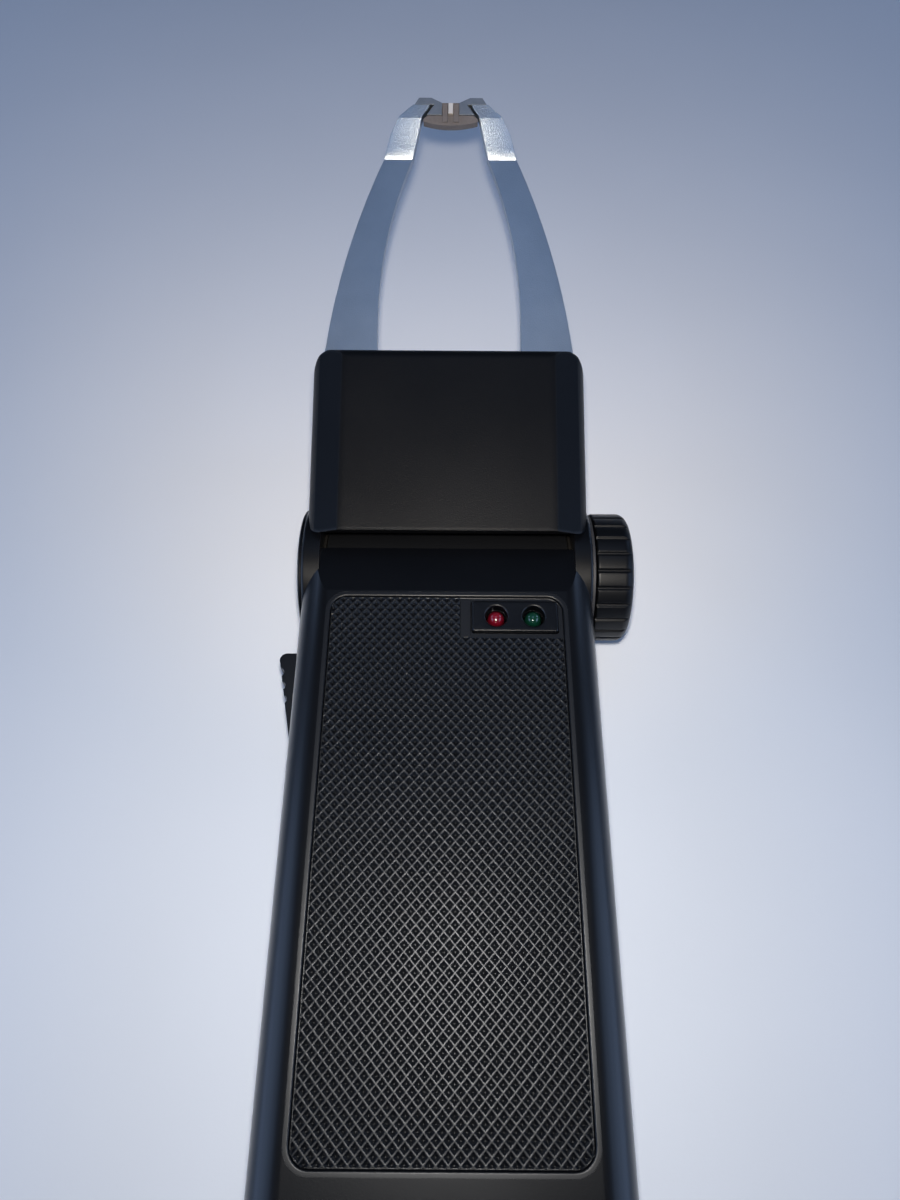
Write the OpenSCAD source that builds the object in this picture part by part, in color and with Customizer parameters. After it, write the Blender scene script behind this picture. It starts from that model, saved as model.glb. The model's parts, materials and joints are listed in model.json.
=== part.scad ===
// Hand-held tape head demagnetizer: battery handle, clamp hinge, coil head, two bent pole arms.
// Millimetres. +Z is up from the flat back, +Y runs towards the tip, X = 0 is the middle plane.

/* [Handle] */
// Length from the rear end to the hinge axis
handle_len = 130; // [126:1:160]
// Width across the sides
handle_w = 48; // [46:1:56]
// Thickness from the flat back to the grip face
handle_t = 28; // [27:1:34]
// Rounding of the long edges
edge_r = 5; // [4:0.5:7]
// Rounding of the rear corners in plan
end_r = 9; // [6:0.5:12]
// Rounding of the rear end's top and bottom edges
end_edge_r = 4; // [2:0.5:6]
// Wall of the shells
wall = 2.2; // [1.8:0.1:2.6]
// Wall under the grip face
top_wall = 3; // [2.6:0.1:4]
// Height of the parting plane
split_z = 13; // [11:0.5:14]
// Height by which the two foot bars and the battery door stand proud of the back
foot_rise = 0.4; // [0.3:0.1:0.5]
// Length of each foot bar
foot_len = 6; // [4:0.5:7]
// Half width of the foot bars
foot_half = 15; // [12:0.5:15.5]
// Place of the sloping nose's lip, forward of the hinge axis
nose_reach = -0.4; // [-1:0.1:2]
// Fall of the nose from the grip face to its lip
nose_fall = 1; // [0.5:0.1:1.8]
// Rounding of the nose's corners in plan
nose_r = 4; // [3:0.5:6]

/* [Grip panel] */
// Distance from the handle's side to the inlaid panel
panel_side = 4.9; // [4.5:0.1:8]
// Length of the inlaid panel
panel_len = 77.8; // [60:0.2:90]
// Distance from the hinge axis to the panel's front edge
panel_setback = 9.2; // [9:0.1:14]
// Rounding of the panel's corners
panel_r = 3.2; // [1:0.1:5]
// Depth of the seat for the panel
panel_seat = 1.6; // [1.2:0.1:1.8]
// Thickness of the panel under the grip
panel_t = 1.1; // [0.8:0.1:1.2]
// Width of the border bead
bead_w = 0.7; // [0.4:0.1:1.2]

/* [Lamps] */
// Diameter of a lamp
lamp_d = 3; // [2.5:0.1:3.4]
// Distance between the two lamps
lamp_pitch = 5.9; // [5:0.1:7]
// Width of the lamp bezel
bezel_w = 13.6; // [12:0.1:14]
// Length of the lamp bezel
bezel_len = 5.4; // [5:0.1:6]
// Gap from the panel's front edge to the bezel
bezel_setback = 1.4; // [1:0.1:2]
// Gap from the panel's side edge to the bezel
bezel_margin = 1.5; // [1:0.1:3]
// Height of the bezel above the grip face
bezel_rise = 0.2; // [0:0.1:0.5]

/* [Hinge] */
// Depth of the hinge axis below the grip face
hinge_drop = 11.5; // [11:0.1:13]
// Radius of the hinge ears
ear_r = 12; // [11.4:0.1:12.2]
// Thickness of a hinge ear
ear_t = 3; // [2.4:0.1:4]
// Rounding of an ear's outer rim
ear_rim = 0.5; // [0.4:0.1:1.5]
// Radius of the head's hinge barrel
barrel_r = 8.6; // [7.5:0.1:8.8]
// Diameter of the hinge bolt
bolt_d = 5; // [4:0.1:6]
// Thickness of the round cap on the left ear
cap_t = 1.8; // [1.7:0.1:3]
// Radius of the cap's crowned face
cap_crown = 56; // [50:1:80]
// Thickness of a friction washer
friction_t = 0.4; // [0.2:0.1:0.8]
// Thickness of the spring washer under the knob
washer_t = 0.5; // [0.4:0.1:1]
// Diameter of the clamp knob
knob_d = 22.4; // [18:0.1:26]
// Thickness of the clamp knob
knob_t = 6.2; // [5.5:0.1:9]
// Number of ribs round the knob
knob_ribs = 24; // [12:1:36]
// Width of the groove between two ribs
knob_groove_w = 0.7; // [0.4:0.1:1.2]
// Rounding of the knob's outer rim
knob_rim_r = 1.6; // [0.5:0.1:2.5]

/* [Head] */
// Pitch of the head above the handle's line
head_pitch = 17; // [0:1:30]
// Step from the handle's side in to the head's side
head_setin = 0.5; // [0:0.1:0.7]
// Height of the head's top above the hinge axis
head_top = 14.5; // [13.5:0.1:16]
// Depth of the head's underside below the hinge axis
head_bottom = 12.5; // [11.5:0.1:14]
// Distance from the hinge axis to the head's front face
head_front = 36.5; // [34:0.5:44]
// Distance from the hinge axis to the head's rear top edge
head_rear = 4.7; // [4:0.1:6]
// Thickness of the head's rear edge, above its undercut
head_lip = 2; // [1.5:0.1:3]
// Angle by which the head tilts up from its pitch
tilt_up = 20; // [10:1:22]
// Width of the sloping shoulders beside the head's flat top
head_shoulder = 5.7; // [4:0.1:7]
// Fall of the shoulders at the head's sides
head_fall = 3.2; // [2.4:0.1:3.6]
// Rounding of the head's long edges
head_edge_r = 6.5; // [5.5:0.1:7]
// Rounding of the head's front corners in plan
head_corner_r = 3.4; // [2:0.1:5]
// Rounding of the head's front top and bottom edges
head_front_r = 2; // [1:0.1:4]

/* [Pole arms] */
// Thickness of the arm strips
arm_t = 1.6; // [1:0.1:2]
// Depth of the arms' mid plane below the head's top
arm_drop = 9.8; // [9:0.1:11]
// Step from the head's side in to the arms' outer edge
arm_setin = 0.9; // [0.9:0.1:2.5]
// Width of the arms at the head
arm_w = 9.7; // [8.5:0.1:10]
// Distance behind the head's front face where the outer edge starts to curve
arm_lead = 14; // [10:1:18]
// Distance from the head's front face to where the inner edge starts to curve
arm_curve_start = 10; // [5:0.5:14]
// Outer half spacing of the arms at the crease
crease_outer = 12.3; // [11.5:0.1:13]
// Inner half spacing of the arms at the crease
crease_inner = 7; // [6.6:0.1:7.6]
// Distance from the head's front face to the crease
crease_reach = 42.2; // [36:0.1:44]
// Angle of the bent-up end
bend_deg = 39; // [25:1:50]
// Length of the bent-up section
bend_len = 6.9; // [6:0.1:9]
// Angle by which the end facet falls back again
facet_deg = 25; // [10:1:35]
// Length of the end facet
facet_len = 2.2; // [1.8:0.1:3]
// Outer half spacing at the foot of the end facet
facet_outer = 9.3; // [8.6:0.1:10]
// Inner half spacing at the foot of the end facet
facet_inner = 5.2; // [5:0.1:5.6]
// Outer half spacing at the tip
tip_outer = 6.6; // [6:0.1:8]
// Inner half spacing at the tip
tip_inner = 3.5; // [3.3:0.1:4]

/* [Tip] */
// Drop of the tip holder's bowed lower edge below the end facets
holder_drop = 1.4; // [1.2:0.1:2.5]
// Bow of the tip holder's lower edge
holder_bow = 0.7; // [0.5:0.1:1.2]
// Thickness of the tip holder behind the arms
holder_back = 1.4; // [1:0.1:2.4]
// Reach of the dark shoes past the arm ends
shoe_cap = 1.3; // [1:0.1:2]
// Width of the slanted inner corner of a shoe
shoe_slant_w = 2; // [1:0.1:2.4]
// Depth of the slanted inner corner of a shoe
shoe_slant = 0.9; // [0.5:0.1:1]
// Thickness of the gap shim
shim_t = 0.9; // [0.4:0.1:1]
// Width of the rib on each side of the shim
rib_w = 0.9; // [0.6:0.1:1]

/* [Trigger] */
// Length of the press lever outside the handle
trigger_len = 21.6; // [19:0.2:24]
// Height of the press lever
trigger_h = 9; // [7:0.5:10]
// Reach of the lever's front end beyond the handle's side
trigger_proud = 4; // [3:0.1:5]
// Distance from the hinge axis to the lever's front end
trigger_setback = 15.4; // [14.6:0.1:17]
// Diameter of the lever's pin
pin_d = 2; // [1.6:0.1:2.4]
// Swing of the lever when pressed
trigger_swing = 8; // [5:0.5:9]

/* [Battery] */
// Diameter of a cell
cell_d = 14.5; // [13.5:0.1:14.5]
// Length of a cell with its nub
cell_len = 50.5; // [44:0.1:52]
// Length of a compressed contact spring
contact_spring_len = 3.2; // [2.5:0.1:4]
// Thickness of a contact plate
contact_t = 0.4; // [0.3:0.1:0.6]
// Thickness of the battery door
door_t = 2.6; // [2.2:0.1:3]
// Half width of the battery door's outer face
door_half = 13.5; // [12:0.1:14]
// Depth of the door's runner in its groove
runner = 1.4; // [1:0.1:1.6]

/* [Fits] */
// Gap between pieces that are fixed together
fit_gap = 0.1; // [0.05:0.01:0.2]
// Gap between pieces that move past each other
move_gap = 0.3; // [0.25:0.01:0.4]
// Radial clearance of a turning pin
run_gap = 0.05; // [0.03:0.01:0.08]

/* [Hidden] */
$fn = 64;
// Overshoot of a cut beyond the face it opens
cut = 1;
black = [0.05, 0.055, 0.07];
steel = [0.62, 0.64, 0.66];
brass = [0.75, 0.6, 0.3];

// Places along the handle
hinge_y = handle_len / 2;
hinge_z = handle_t - hinge_drop;
rear_y = -handle_len / 2;
half_w = handle_w / 2;
ear_in = half_w - ear_t;
ear_out = half_w;
cap_r = ear_r - ear_rim;
barrel_clear = barrel_r + move_gap + 0.1;
bulkhead_r = barrel_clear + 2.5;
bolt_head_t = 0.8;
panel_front = hinge_y - panel_setback;
panel_w = handle_w - 2 * panel_side;
panel_mid = panel_front - panel_len / 2;
seat_z = handle_t - panel_seat;
inside_top = handle_t - top_wall;
floor_z = wall;
foot_y = hinge_y - 8 - foot_len;

// Lamps and circuit board
bezel_y = panel_front - bezel_setback - bezel_len / 2;
lamp_x = panel_w / 2 - bezel_margin - bezel_w / 2;
lamp_top = handle_t - 0.1;
lamp_height = 5.3;
lamp_flange_d = lamp_d + 0.8;
board_t = 1.6;
board_top = lamp_top - lamp_height - 2;
board_z = board_top - board_t;
board_front = hinge_y - bulkhead_r - move_gap;
board_len = 56;
board_screw_d = 2.2;
board_screw_head_d = 4;
board_screw_head_h = 1.4;
board_screw_bite = 3;
standoff_d = 4.6;
board_rear = board_front - board_len;

// Shell screws
boss_d = 5;
boss_x = half_w - wall - boss_d / 2 + 0.2;
screw_d = 2.6;
screw_head_d = 4.6;
screw_head_h = 1.8;
screw_seat_z = 6;
screw_top_z = 21;
board_half = boss_x - boss_d / 2 - 4 * fit_gap;
board_hole_x = board_half - standoff_d / 2 - 0.5;
board_holes = [[-board_hole_x, board_front - 5], [-board_hole_x, board_rear + 4],
               [board_hole_x, board_rear + 4]];

// Pieces under the board
part_margin = 2.6;
part_setback = 12;
part_y = board_rear + part_setback;
can_d = 10;
can_len = 20;
drum_d = 11;
drum_h = 8.6;
drum_rim = 1.2;
chip_w = 10;
chip_len = 9;
chip_h = 4.5;
chip_lead = 3;
tab_len = 6;
tab_t = 1.3;

// Battery bay
bay_rear = rear_y + wall + fit_gap;
bay_front = bay_rear + 2 * contact_t + 2 * fit_gap + cell_len + contact_spring_len;
bay_half = cell_d + 0.5;
bay_wall = 1.5;
cell_x = cell_d / 2 + 0.15;
cell_z = door_t + move_gap + cell_d / 2;
nub_h = 1;
nub_d = 5.5;
contact_coil_r = 3.5;
contact_wire = 0.7;
door_len = bay_front - rear_y;
runner_z = 1.4;
thumb_setback = 12;
thumb_pitch = 2.2;
thumb_len = 14;
thumb_r = 0.9;
thumb_depth = 0.7;
ledge_t = 1.3;

// Trigger and switch
trigger_z = split_z;
trigger_front = hinge_y - trigger_setback;
pivot_x = -half_w + wall + 1.5;
pivot_y = trigger_front - trigger_len;
boss_step = 10;
boss_y = [rear_y + end_r + 2, pivot_y - boss_step];
pivot_boss_r = 2.5;
lever_in = pivot_x + 1.2;
nib_x = lever_in + 2.6;
nib_reach = 8.5;
nib_y = pivot_y + nib_reach;
lip_len = 2.3;
window_gap = 2 * move_gap + trigger_proud * sin(trigger_swing);
pin_z0 = floor_z + 2;
pin_z1 = inside_top - 2;
switch_l = 12.8;
switch_h = 6.5;
switch_w = 5.8;
plunger_d = 2;
plunger_out = 1.7;
plunger_in = 2.4;
notch_r = 0.8;
notch_pitch = 2.4;
switch_x = nib_x + move_gap + plunger_out;
spring_y = trigger_front - 1.8;
spring_r = 1.7;
spring_wire = 0.5;
spring_post_x = lever_in + 5;

// Head, in its own frame with the hinge axis as origin
arm_z = head_top - arm_drop;
head_wall = 2.2;
head_w = handle_w - 2 * head_setin;
head_half = head_w / 2;
arm_outer = head_half - arm_setin;
arm_inner = arm_outer - arm_w;
neck_y = barrel_r - 1;
neck_r = barrel_r - 0.2;
neck_turn = 6;
undercut_r = norm([nose_reach, hinge_drop - nose_fall]) + 2 * move_gap;
undercut_deg = head_pitch + tilt_up + 3;
side_clear = ear_in - friction_t - move_gap;
ear_clear_r = ear_r + 0.4;
head_cavity_rear = neck_y + 3;
head_cavity_mid = ear_clear_r + 1.6;
head_cavity_half = head_half - head_wall;
crease_y = head_front + crease_reach;
yoke_y = head_cavity_mid + 6.2;
yoke_w = 7;
yoke_t = 6;
yoke_top = arm_z - arm_t / 2;
yoke_half = head_cavity_half - 1.2;
arm_root_y = yoke_y - yoke_w / 2;
arm_root_outer = head_cavity_half - 0.6;
bobbin_half = 9.6;
bobbin_wall = 0.8;
bobbin_flange = 1;
winding_t = 4.4;
arm_screw_x = arm_inner + 4.2;
arm_screw_d = 3;
arm_screw_head_d = 5.4;
arm_screw_head_h = 2;
head_boss_d = 5;
head_screw_d = 2.4;
head_boss_at = [[-8.5, head_front - head_wall - 2.4], [8.5, head_front - head_wall - 2.4],
                [-14, head_cavity_rear + 2.4], [14, head_cavity_rear + 2.4]];
bend_rise = bend_len * sin(bend_deg);
bend_run = bend_len * cos(bend_deg);
facet_slope = bend_deg - facet_deg;
rib_x = shim_t / 2 + fit_gap;
shoe_x = rib_x + rib_w + fit_gap;

// Rounded rectangle centred on the origin
module rounded_rect(w, h, r) {
    square([w - 2 * r, h], center = true);
    square([w, h - 2 * r], center = true);
    for (sx = [-1, 1], sy = [-1, 1])
        translate([sx * (w / 2 - r), sy * (h / 2 - r)])
            circle(r);
}

// Section drawn in X and Z, run along Y
module along_y(y0, y1) {
    translate([0, y1, 0])
        rotate([90, 0, 0])
            linear_extrude(y1 - y0)
                children();
}

// Side profile drawn in Y and Z, run along X
module along_x(x0, x1) {
    translate([x0, 0, 0])
        rotate([90, 0, 90])
            linear_extrude(x1 - x0)
                children();
}

// Round bar along X
module bar_x(x0, x1, r) {
    translate([x0, 0, 0])
        rotate([0, 90, 0])
            cylinder(r = r, h = x1 - x0);
}

// Same shape on both sides of the middle plane
module both_sides() {
    children();
    mirror([1, 0, 0])
        children();
}

module at_hinge() {
    translate([0, hinge_y, hinge_z])
        children();
}

module in_head() {
    at_hinge()
        rotate([head_pitch, 0, 0])
            children();
}

// Coiled wire along Z with plain ends
module coil(r, wire, len, turns, steps = 16, sides = 6) {
    count = turns * steps;
    rings = [for (i = [0 : count])
        let (a = 360 * i / steps, z = wire / 2 + (len - wire) * i / count)
        [for (k = [0 : sides - 1])
            let (b = 360 * k / sides, q = r + wire / 2 * cos(b))
            [q * cos(a), q * sin(a), z + wire / 2 * sin(b)]]];
    walls = [for (i = [0 : count - 1], k = [0 : sides - 1])
        let (a = i * sides + k, b = i * sides + (k + 1) % sides)
        each [[a, a + sides, b], [b, a + sides, b + sides]]];
    near = [for (k = [1 : sides - 2]) [0, k, k + 1]];
    last = count * sides;
    far = [for (k = [1 : sides - 2]) [last, last + k + 1, last + k]];
    polyhedron([for (ring = rings) each ring], concat(walls, near, far));
}

// Pan head screw along Z, underside of the head at the origin, shank upwards
module pan_screw(d, head_d, head_h, len) {
    cylinder(d = d, h = len);
    translate([0, 0, -head_h])
        cylinder(d = head_d, h = head_h);
}

// Whole outside of the handle without its ears
module handle_outside() {
    intersection() {
        along_y(rear_y, hinge_y + nose_reach)
            translate([0, handle_t / 2])
                rounded_rect(handle_w, handle_t, edge_r);
        linear_extrude(handle_t)
            handle_plan();
        along_x(-half_w, half_w)
            handle_side();
    }
}

module handle_plan() {
    for (s = [-1, 1]) {
        translate([s * (half_w - end_r), rear_y + end_r])
            circle(end_r);
        translate([s * (half_w - nose_r), hinge_y + nose_reach - nose_r])
            circle(nose_r);
    }
    translate([-half_w, rear_y + end_r])
        square([handle_w, handle_len + nose_reach - end_r - nose_r]);
    translate([-half_w + end_r, rear_y])
        square([handle_w - 2 * end_r, end_r]);
    translate([-half_w + nose_r, hinge_y + nose_reach - nose_r])
        square([handle_w - 2 * nose_r, nose_r]);
}

module handle_side() {
    for (z = [end_edge_r, handle_t - end_edge_r])
        translate([rear_y + end_edge_r, z])
            circle(end_edge_r);
    translate([rear_y, end_edge_r])
        square([end_edge_r, handle_t - 2 * end_edge_r]);
    polygon([
        [rear_y + end_edge_r, 0],
        [hinge_y - 6, 0],
        [hinge_y - 2, hinge_z - 5],
        [hinge_y + nose_reach, hinge_z],
        [hinge_y + nose_reach, handle_t - nose_fall],
        [panel_front + 0.4, handle_t],
        [rear_y + end_edge_r, handle_t]
    ]);
}

// Hollow of the handle, closed at the front by a round bulkhead behind the hinge barrel
module handle_cavity() {
    difference() {
        intersection() {
            along_y(rear_y + wall, panel_front - 0.5)
                translate([0, (floor_z + inside_top) / 2])
                    rounded_rect(handle_w - 2 * wall, inside_top - floor_z, edge_r - wall);
            linear_extrude(handle_t)
                cavity_plan();
        }
        at_hinge()
            bar_x(-half_w, half_w, bulkhead_r);
    }
}

// Hollow in plan, an even wall inside the rounded rear corners
module cavity_plan() {
    for (s = [-1, 1])
        translate([s * (half_w - end_r), rear_y + end_r])
            circle(end_r - wall);
    translate([-half_w + end_r, rear_y + wall])
        square([handle_w - 2 * end_r, handle_len]);
    translate([-half_w + wall, rear_y + end_r])
        square([handle_w - 2 * wall, handle_len]);
}

// Room for the head's barrel between the ears
module barrel_room() {
    at_hinge()
        bar_x(-ear_in, ear_in, barrel_clear);
}

// Opening in the left side for the press lever
module trigger_window() {
    rear = pivot_y - pivot_boss_r - move_gap;
    translate([-half_w - cut, rear, trigger_z - trigger_h / 2 - move_gap])
        cube([wall + 1.6 + cut, trigger_front + window_gap - rear, trigger_h + 2 * move_gap]);
}

module screw_places() {
    for (s = [-1, 1], y = boss_y)
        translate([s * boss_x, y, 0])
            children();
}

module handle_top_shell() {
    color(black)
    difference() {
        union() {
            difference() {
                intersection() {
                    handle_outside();
                    translate([-half_w, rear_y, split_z])
                        cube([handle_w, handle_len + nose_reach, handle_t]);
                }
                handle_cavity();
            }
            screw_places()
                translate([0, 0, split_z])
                    cylinder(d = boss_d, h = inside_top - split_z + fit_gap);
            for (p = board_holes)
                translate([p[0], p[1], board_top])
                    cylinder(d = standoff_d, h = inside_top - board_top + fit_gap);
            translate([pivot_x, pivot_y, trigger_z + trigger_h / 2 + move_gap])
                cylinder(r = pivot_boss_r, h = inside_top + fit_gap - trigger_z - trigger_h / 2 - move_gap);
            at_hinge()
                both_sides()
                    hinge_ear();
        }
        barrel_room();
        panel_seat_cut();
        trigger_window();
        lamp_holes(seat_z - top_wall, top_wall);
        screw_places()
            translate([0, 0, split_z - cut])
                cylinder(d = screw_d + 2 * fit_gap, h = screw_top_z + 1 - split_z + cut);
        for (p = board_holes)
            translate([p[0], p[1], board_top - cut])
                cylinder(d = board_screw_d + 2 * fit_gap, h = board_screw_bite + 0.5 + cut);
        translate([pivot_x, pivot_y, split_z])
            cylinder(d = pin_d + 2 * fit_gap, h = pin_z1 + fit_gap - split_z);
        at_hinge()
            bar_x(-half_w - cut, half_w + cut, bolt_d / 2 + fit_gap);
    }
}

// Round lug beside the hinge barrel, with a rounded outer rim
module hinge_ear() {
    translate([ear_in, 0, 0])
        rotate([0, 90, 0])
            rotate_extrude()
                rim_profile(ear_r, ear_t, ear_rim);
}

module panel_seat_cut() {
    translate([0, panel_mid, seat_z])
        linear_extrude(panel_seat + cut)
            rounded_rect(panel_w + 2 * fit_gap, panel_len + 2 * fit_gap, panel_r + fit_gap);
}

module lamp_places() {
    for (s = [-1, 1])
        translate([lamp_x + s * lamp_pitch / 2, bezel_y, 0])
            children();
}

module lamp_holes(z, h) {
    lamp_places()
        translate([0, 0, z])
            cylinder(d = lamp_d + 0.5, h = h);
}

module handle_bottom_shell() {
    color(black)
    difference() {
        union() {
            difference() {
                intersection() {
                    handle_outside();
                    translate([-half_w, rear_y, 0])
                        cube([handle_w, handle_len + nose_reach, split_z]);
                }
                handle_cavity();
            }
            intersection() {
                handle_outside();
                bottom_ribs();
            }
        }
        barrel_room();
        trigger_window();
        at_hinge()
            both_sides()
                bar_x(ear_in - fit_gap, half_w + cut, ear_r + fit_gap);
        screw_places() {
            translate([0, 0, -cut])
                cylinder(d = screw_d + 2 * fit_gap, h = split_z + 2 * cut);
            translate([0, 0, -cut])
                cylinder(d = screw_head_d + 2 * fit_gap, h = screw_seat_z + cut);
        }
        translate([pivot_x, pivot_y, pin_z0 - fit_gap])
            cylinder(d = pin_d + 2 * fit_gap, h = split_z);
        door_room();
        back_relief();
    }
}

// Bosses, bay walls and seats that stand on the floor of the bottom shell
module bottom_ribs() {
    screw_places()
        cylinder(d = boss_d + 1.4, h = split_z);
    both_sides()
        translate([bay_half, rear_y + wall - fit_gap, 0])
            cube([bay_wall, door_len, cell_z]);
    both_sides()
        translate([door_half - move_gap, rear_y + wall - fit_gap, 0])
            cube([bay_half - door_half + move_gap + fit_gap, door_len - wall, door_t + move_gap + ledge_t]);
    translate([-bay_half, bay_front, 0])
        cube([2 * bay_half, wall, cell_z + 4]);
    translate([pivot_x, pivot_y, 0])
        cylinder(r = pivot_boss_r, h = trigger_z - trigger_h / 2 - move_gap);
    translate([switch_x + 0.5, nib_y - switch_l / 2 + 1, 0])
        cube([switch_h - 1, switch_l - 2, split_z - switch_w / 2]);
    translate([spring_post_x, spring_y - 2, 0])
        cube([wall, 4, split_z + 2]);
}

// What is taken off the back round the foot bars, one in the middle and one at the front
module back_relief() {
    difference() {
        translate([-half_w - cut, rear_y - cut, -cut])
            cube([handle_w + 2 * cut, handle_len + 2 * cut, foot_rise + cut]);
        for (y = [-foot_len / 2, foot_y])
            translate([-foot_half, y, -2 * cut])
                cube([2 * foot_half, foot_len, foot_rise + 3 * cut]);
    }
}

// Room for the sliding door: its plate, the runner grooves and the way out at the rear
module door_room() {
    y0 = rear_y - cut;
    len = door_len + move_gap + cut;
    translate([-door_half - move_gap, y0, -cut])
        cube([2 * (door_half + move_gap), len, door_t + move_gap + cut]);
    translate([-door_half - runner - move_gap, y0, runner_z - move_gap])
        cube([2 * (door_half + runner + move_gap), len, door_t - runner_z + 2 * move_gap]);
}

module battery_door() {
    color(black)
    difference() {
        intersection() {
            handle_outside();
            union() {
                translate([-door_half, rear_y, 0])
                    cube([2 * door_half, door_len, door_t]);
                translate([-door_half - runner, rear_y, runner_z])
                    cube([2 * (door_half + runner), door_len, door_t - runner_z]);
            }
        }
        for (i = [0 : 4])
            translate([0, rear_y + thumb_setback + thumb_pitch * i, thumb_depth - thumb_r])
                bar_x(-thumb_len / 2, thumb_len / 2, thumb_r);
    }
}

module grip_panel() {
    color([0.06, 0.065, 0.08])
    translate([0, panel_mid, seat_z])
    difference() {
        union() {
            linear_extrude(panel_t)
                rounded_rect(panel_w, panel_len, panel_r);
            difference() {
                linear_extrude(panel_seat)
                    rounded_rect(panel_w, panel_len, panel_r);
                linear_extrude(panel_seat + cut)
                    rounded_rect(panel_w - 2 * bead_w, panel_len - 2 * bead_w, panel_r - bead_w);
            }
        }
        translate([lamp_x, bezel_y - panel_mid, -cut])
            linear_extrude(panel_seat + 2 * cut)
                square([bezel_w + 2 * fit_gap, bezel_len + 2 * fit_gap], center = true);
    }
}

module lamp_bezel() {
    color(black)
    difference() {
        translate([lamp_x, bezel_y, seat_z])
            linear_extrude(panel_seat + bezel_rise)
                square([bezel_w, bezel_len], center = true);
        lamp_holes(seat_z - cut, panel_seat + bezel_rise + 2 * cut);
    }
}

module lamp(side, shade) {
    color(shade)
    translate([lamp_x + side * lamp_pitch / 2, bezel_y, 0]) {
        translate([0, 0, lamp_top - lamp_height])
            rotate_extrude()
                lamp_profile();
        for (s = [-1, 1])
            translate([s * 1.2, 0, board_top])
                cylinder(d = 0.5, h = lamp_top - lamp_height - board_top + 0.2);
    }
}

// Half outline of a round lamp: flange, barrel and dome
module lamp_profile() {
    square([lamp_flange_d / 2, 1]);
    square([lamp_d / 2, lamp_height - lamp_d / 2]);
    translate([0, lamp_height - lamp_d / 2])
        intersection() {
            circle(lamp_d / 2);
            square(lamp_d);
        }
}

module red_lamp() {
    lamp(-1, [0.75, 0.08, 0.15]);
}

module green_lamp() {
    lamp(1, [0.05, 0.35, 0.22]);
}

module circuit_board() {
    color([0.45, 0.36, 0.16])
    difference() {
        translate([-board_half, board_rear, board_z])
            cube([2 * board_half, board_len, board_t]);
        for (p = board_holes)
            translate([p[0], p[1], board_z - cut])
                cylinder(d = board_screw_d + 2 * fit_gap, h = board_t + 2 * cut);
    }
}

module board_screws() {
    color(steel)
    for (p = board_holes)
        translate([p[0], p[1], board_z])
            pan_screw(board_screw_d, board_screw_head_d, board_screw_head_h, board_t + board_screw_bite);
}

// Electrolytic can that lies under the board, with a crimp groove near its end
module charge_capacitor() {
    crimp = 1.2;
    end = 1.8;
    color([0.1, 0.15, 0.3])
    translate([board_half - part_margin - can_d / 2, part_y, board_z - can_d / 2])
        rotate([-90, 0, 0]) {
            cylinder(d = can_d, h = can_len - crimp - end);
            translate([0, 0, can_len - crimp - end])
                cylinder(d = can_d - 0.8, h = crimp);
            translate([0, 0, can_len - end])
                cylinder(d = can_d, h = end);
        }
}

// Step-up inductor on a drum core
module converter_coil() {
    color([0.25, 0.16, 0.1])
    translate([board_half - part_margin - drum_d / 2, board_front - 2 * part_margin - drum_d / 2, board_z])
        mirror([0, 0, 1]) {
            cylinder(d = drum_d, h = drum_rim);
            cylinder(d = drum_d - 1.6, h = drum_h);
            translate([0, 0, drum_h - drum_rim])
                cylinder(d = drum_d, h = drum_rim);
        }
}

// Flat power package under the board with its metal tab and three leads
module switching_transistor() {
    lead_w = 0.8;
    lead_z = -0.6 * chip_h;
    color([0.12, 0.12, 0.13])
    translate([part_margin + chip_w / 2 - board_half, part_y + chip_lead, board_z]) {
        translate([-chip_w / 2, 0, -chip_h])
            cube([chip_w, chip_len, chip_h]);
        difference() {
            translate([-chip_w / 2, chip_len, -chip_h])
                cube([chip_w, tab_len, tab_t]);
            translate([0, chip_len + tab_len / 2, -chip_h - cut])
                cylinder(d = 3.4, h = tab_t + 2 * cut);
        }
        for (i = [-1, 0, 1])
            translate([i * chip_w / 4 - lead_w / 2, -chip_lead, lead_z])
                cube([lead_w, chip_lead, -lead_z]);
    }
}

module switch_body() {
    color([0.1, 0.1, 0.11])
    difference() {
        translate([switch_x, nib_y - switch_l / 2, split_z - switch_w / 2])
            cube([switch_h, switch_l, switch_w]);
        translate([switch_x - cut, nib_y, split_z])
            rotate([0, 90, 0])
                cylinder(d = plunger_d + 2 * run_gap, h = plunger_in + 2.2 + cut);
    }
}

module switch_plunger() {
    color([0.85, 0.25, 0.15])
    translate([switch_x - plunger_out, nib_y, split_z])
        rotate([0, 90, 0])
            cylinder(d = plunger_d, h = plunger_out + plunger_in);
}

module trigger_lever() {
    color([0.07, 0.075, 0.09])
    translate([0, 0, trigger_z - trigger_h / 2])
    difference() {
        linear_extrude(trigger_h)
            trigger_plan();
        translate([pivot_x, pivot_y, -cut])
            cylinder(d = pin_d + 2 * run_gap, h = trigger_h + 2 * cut);
    }
}

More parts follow.
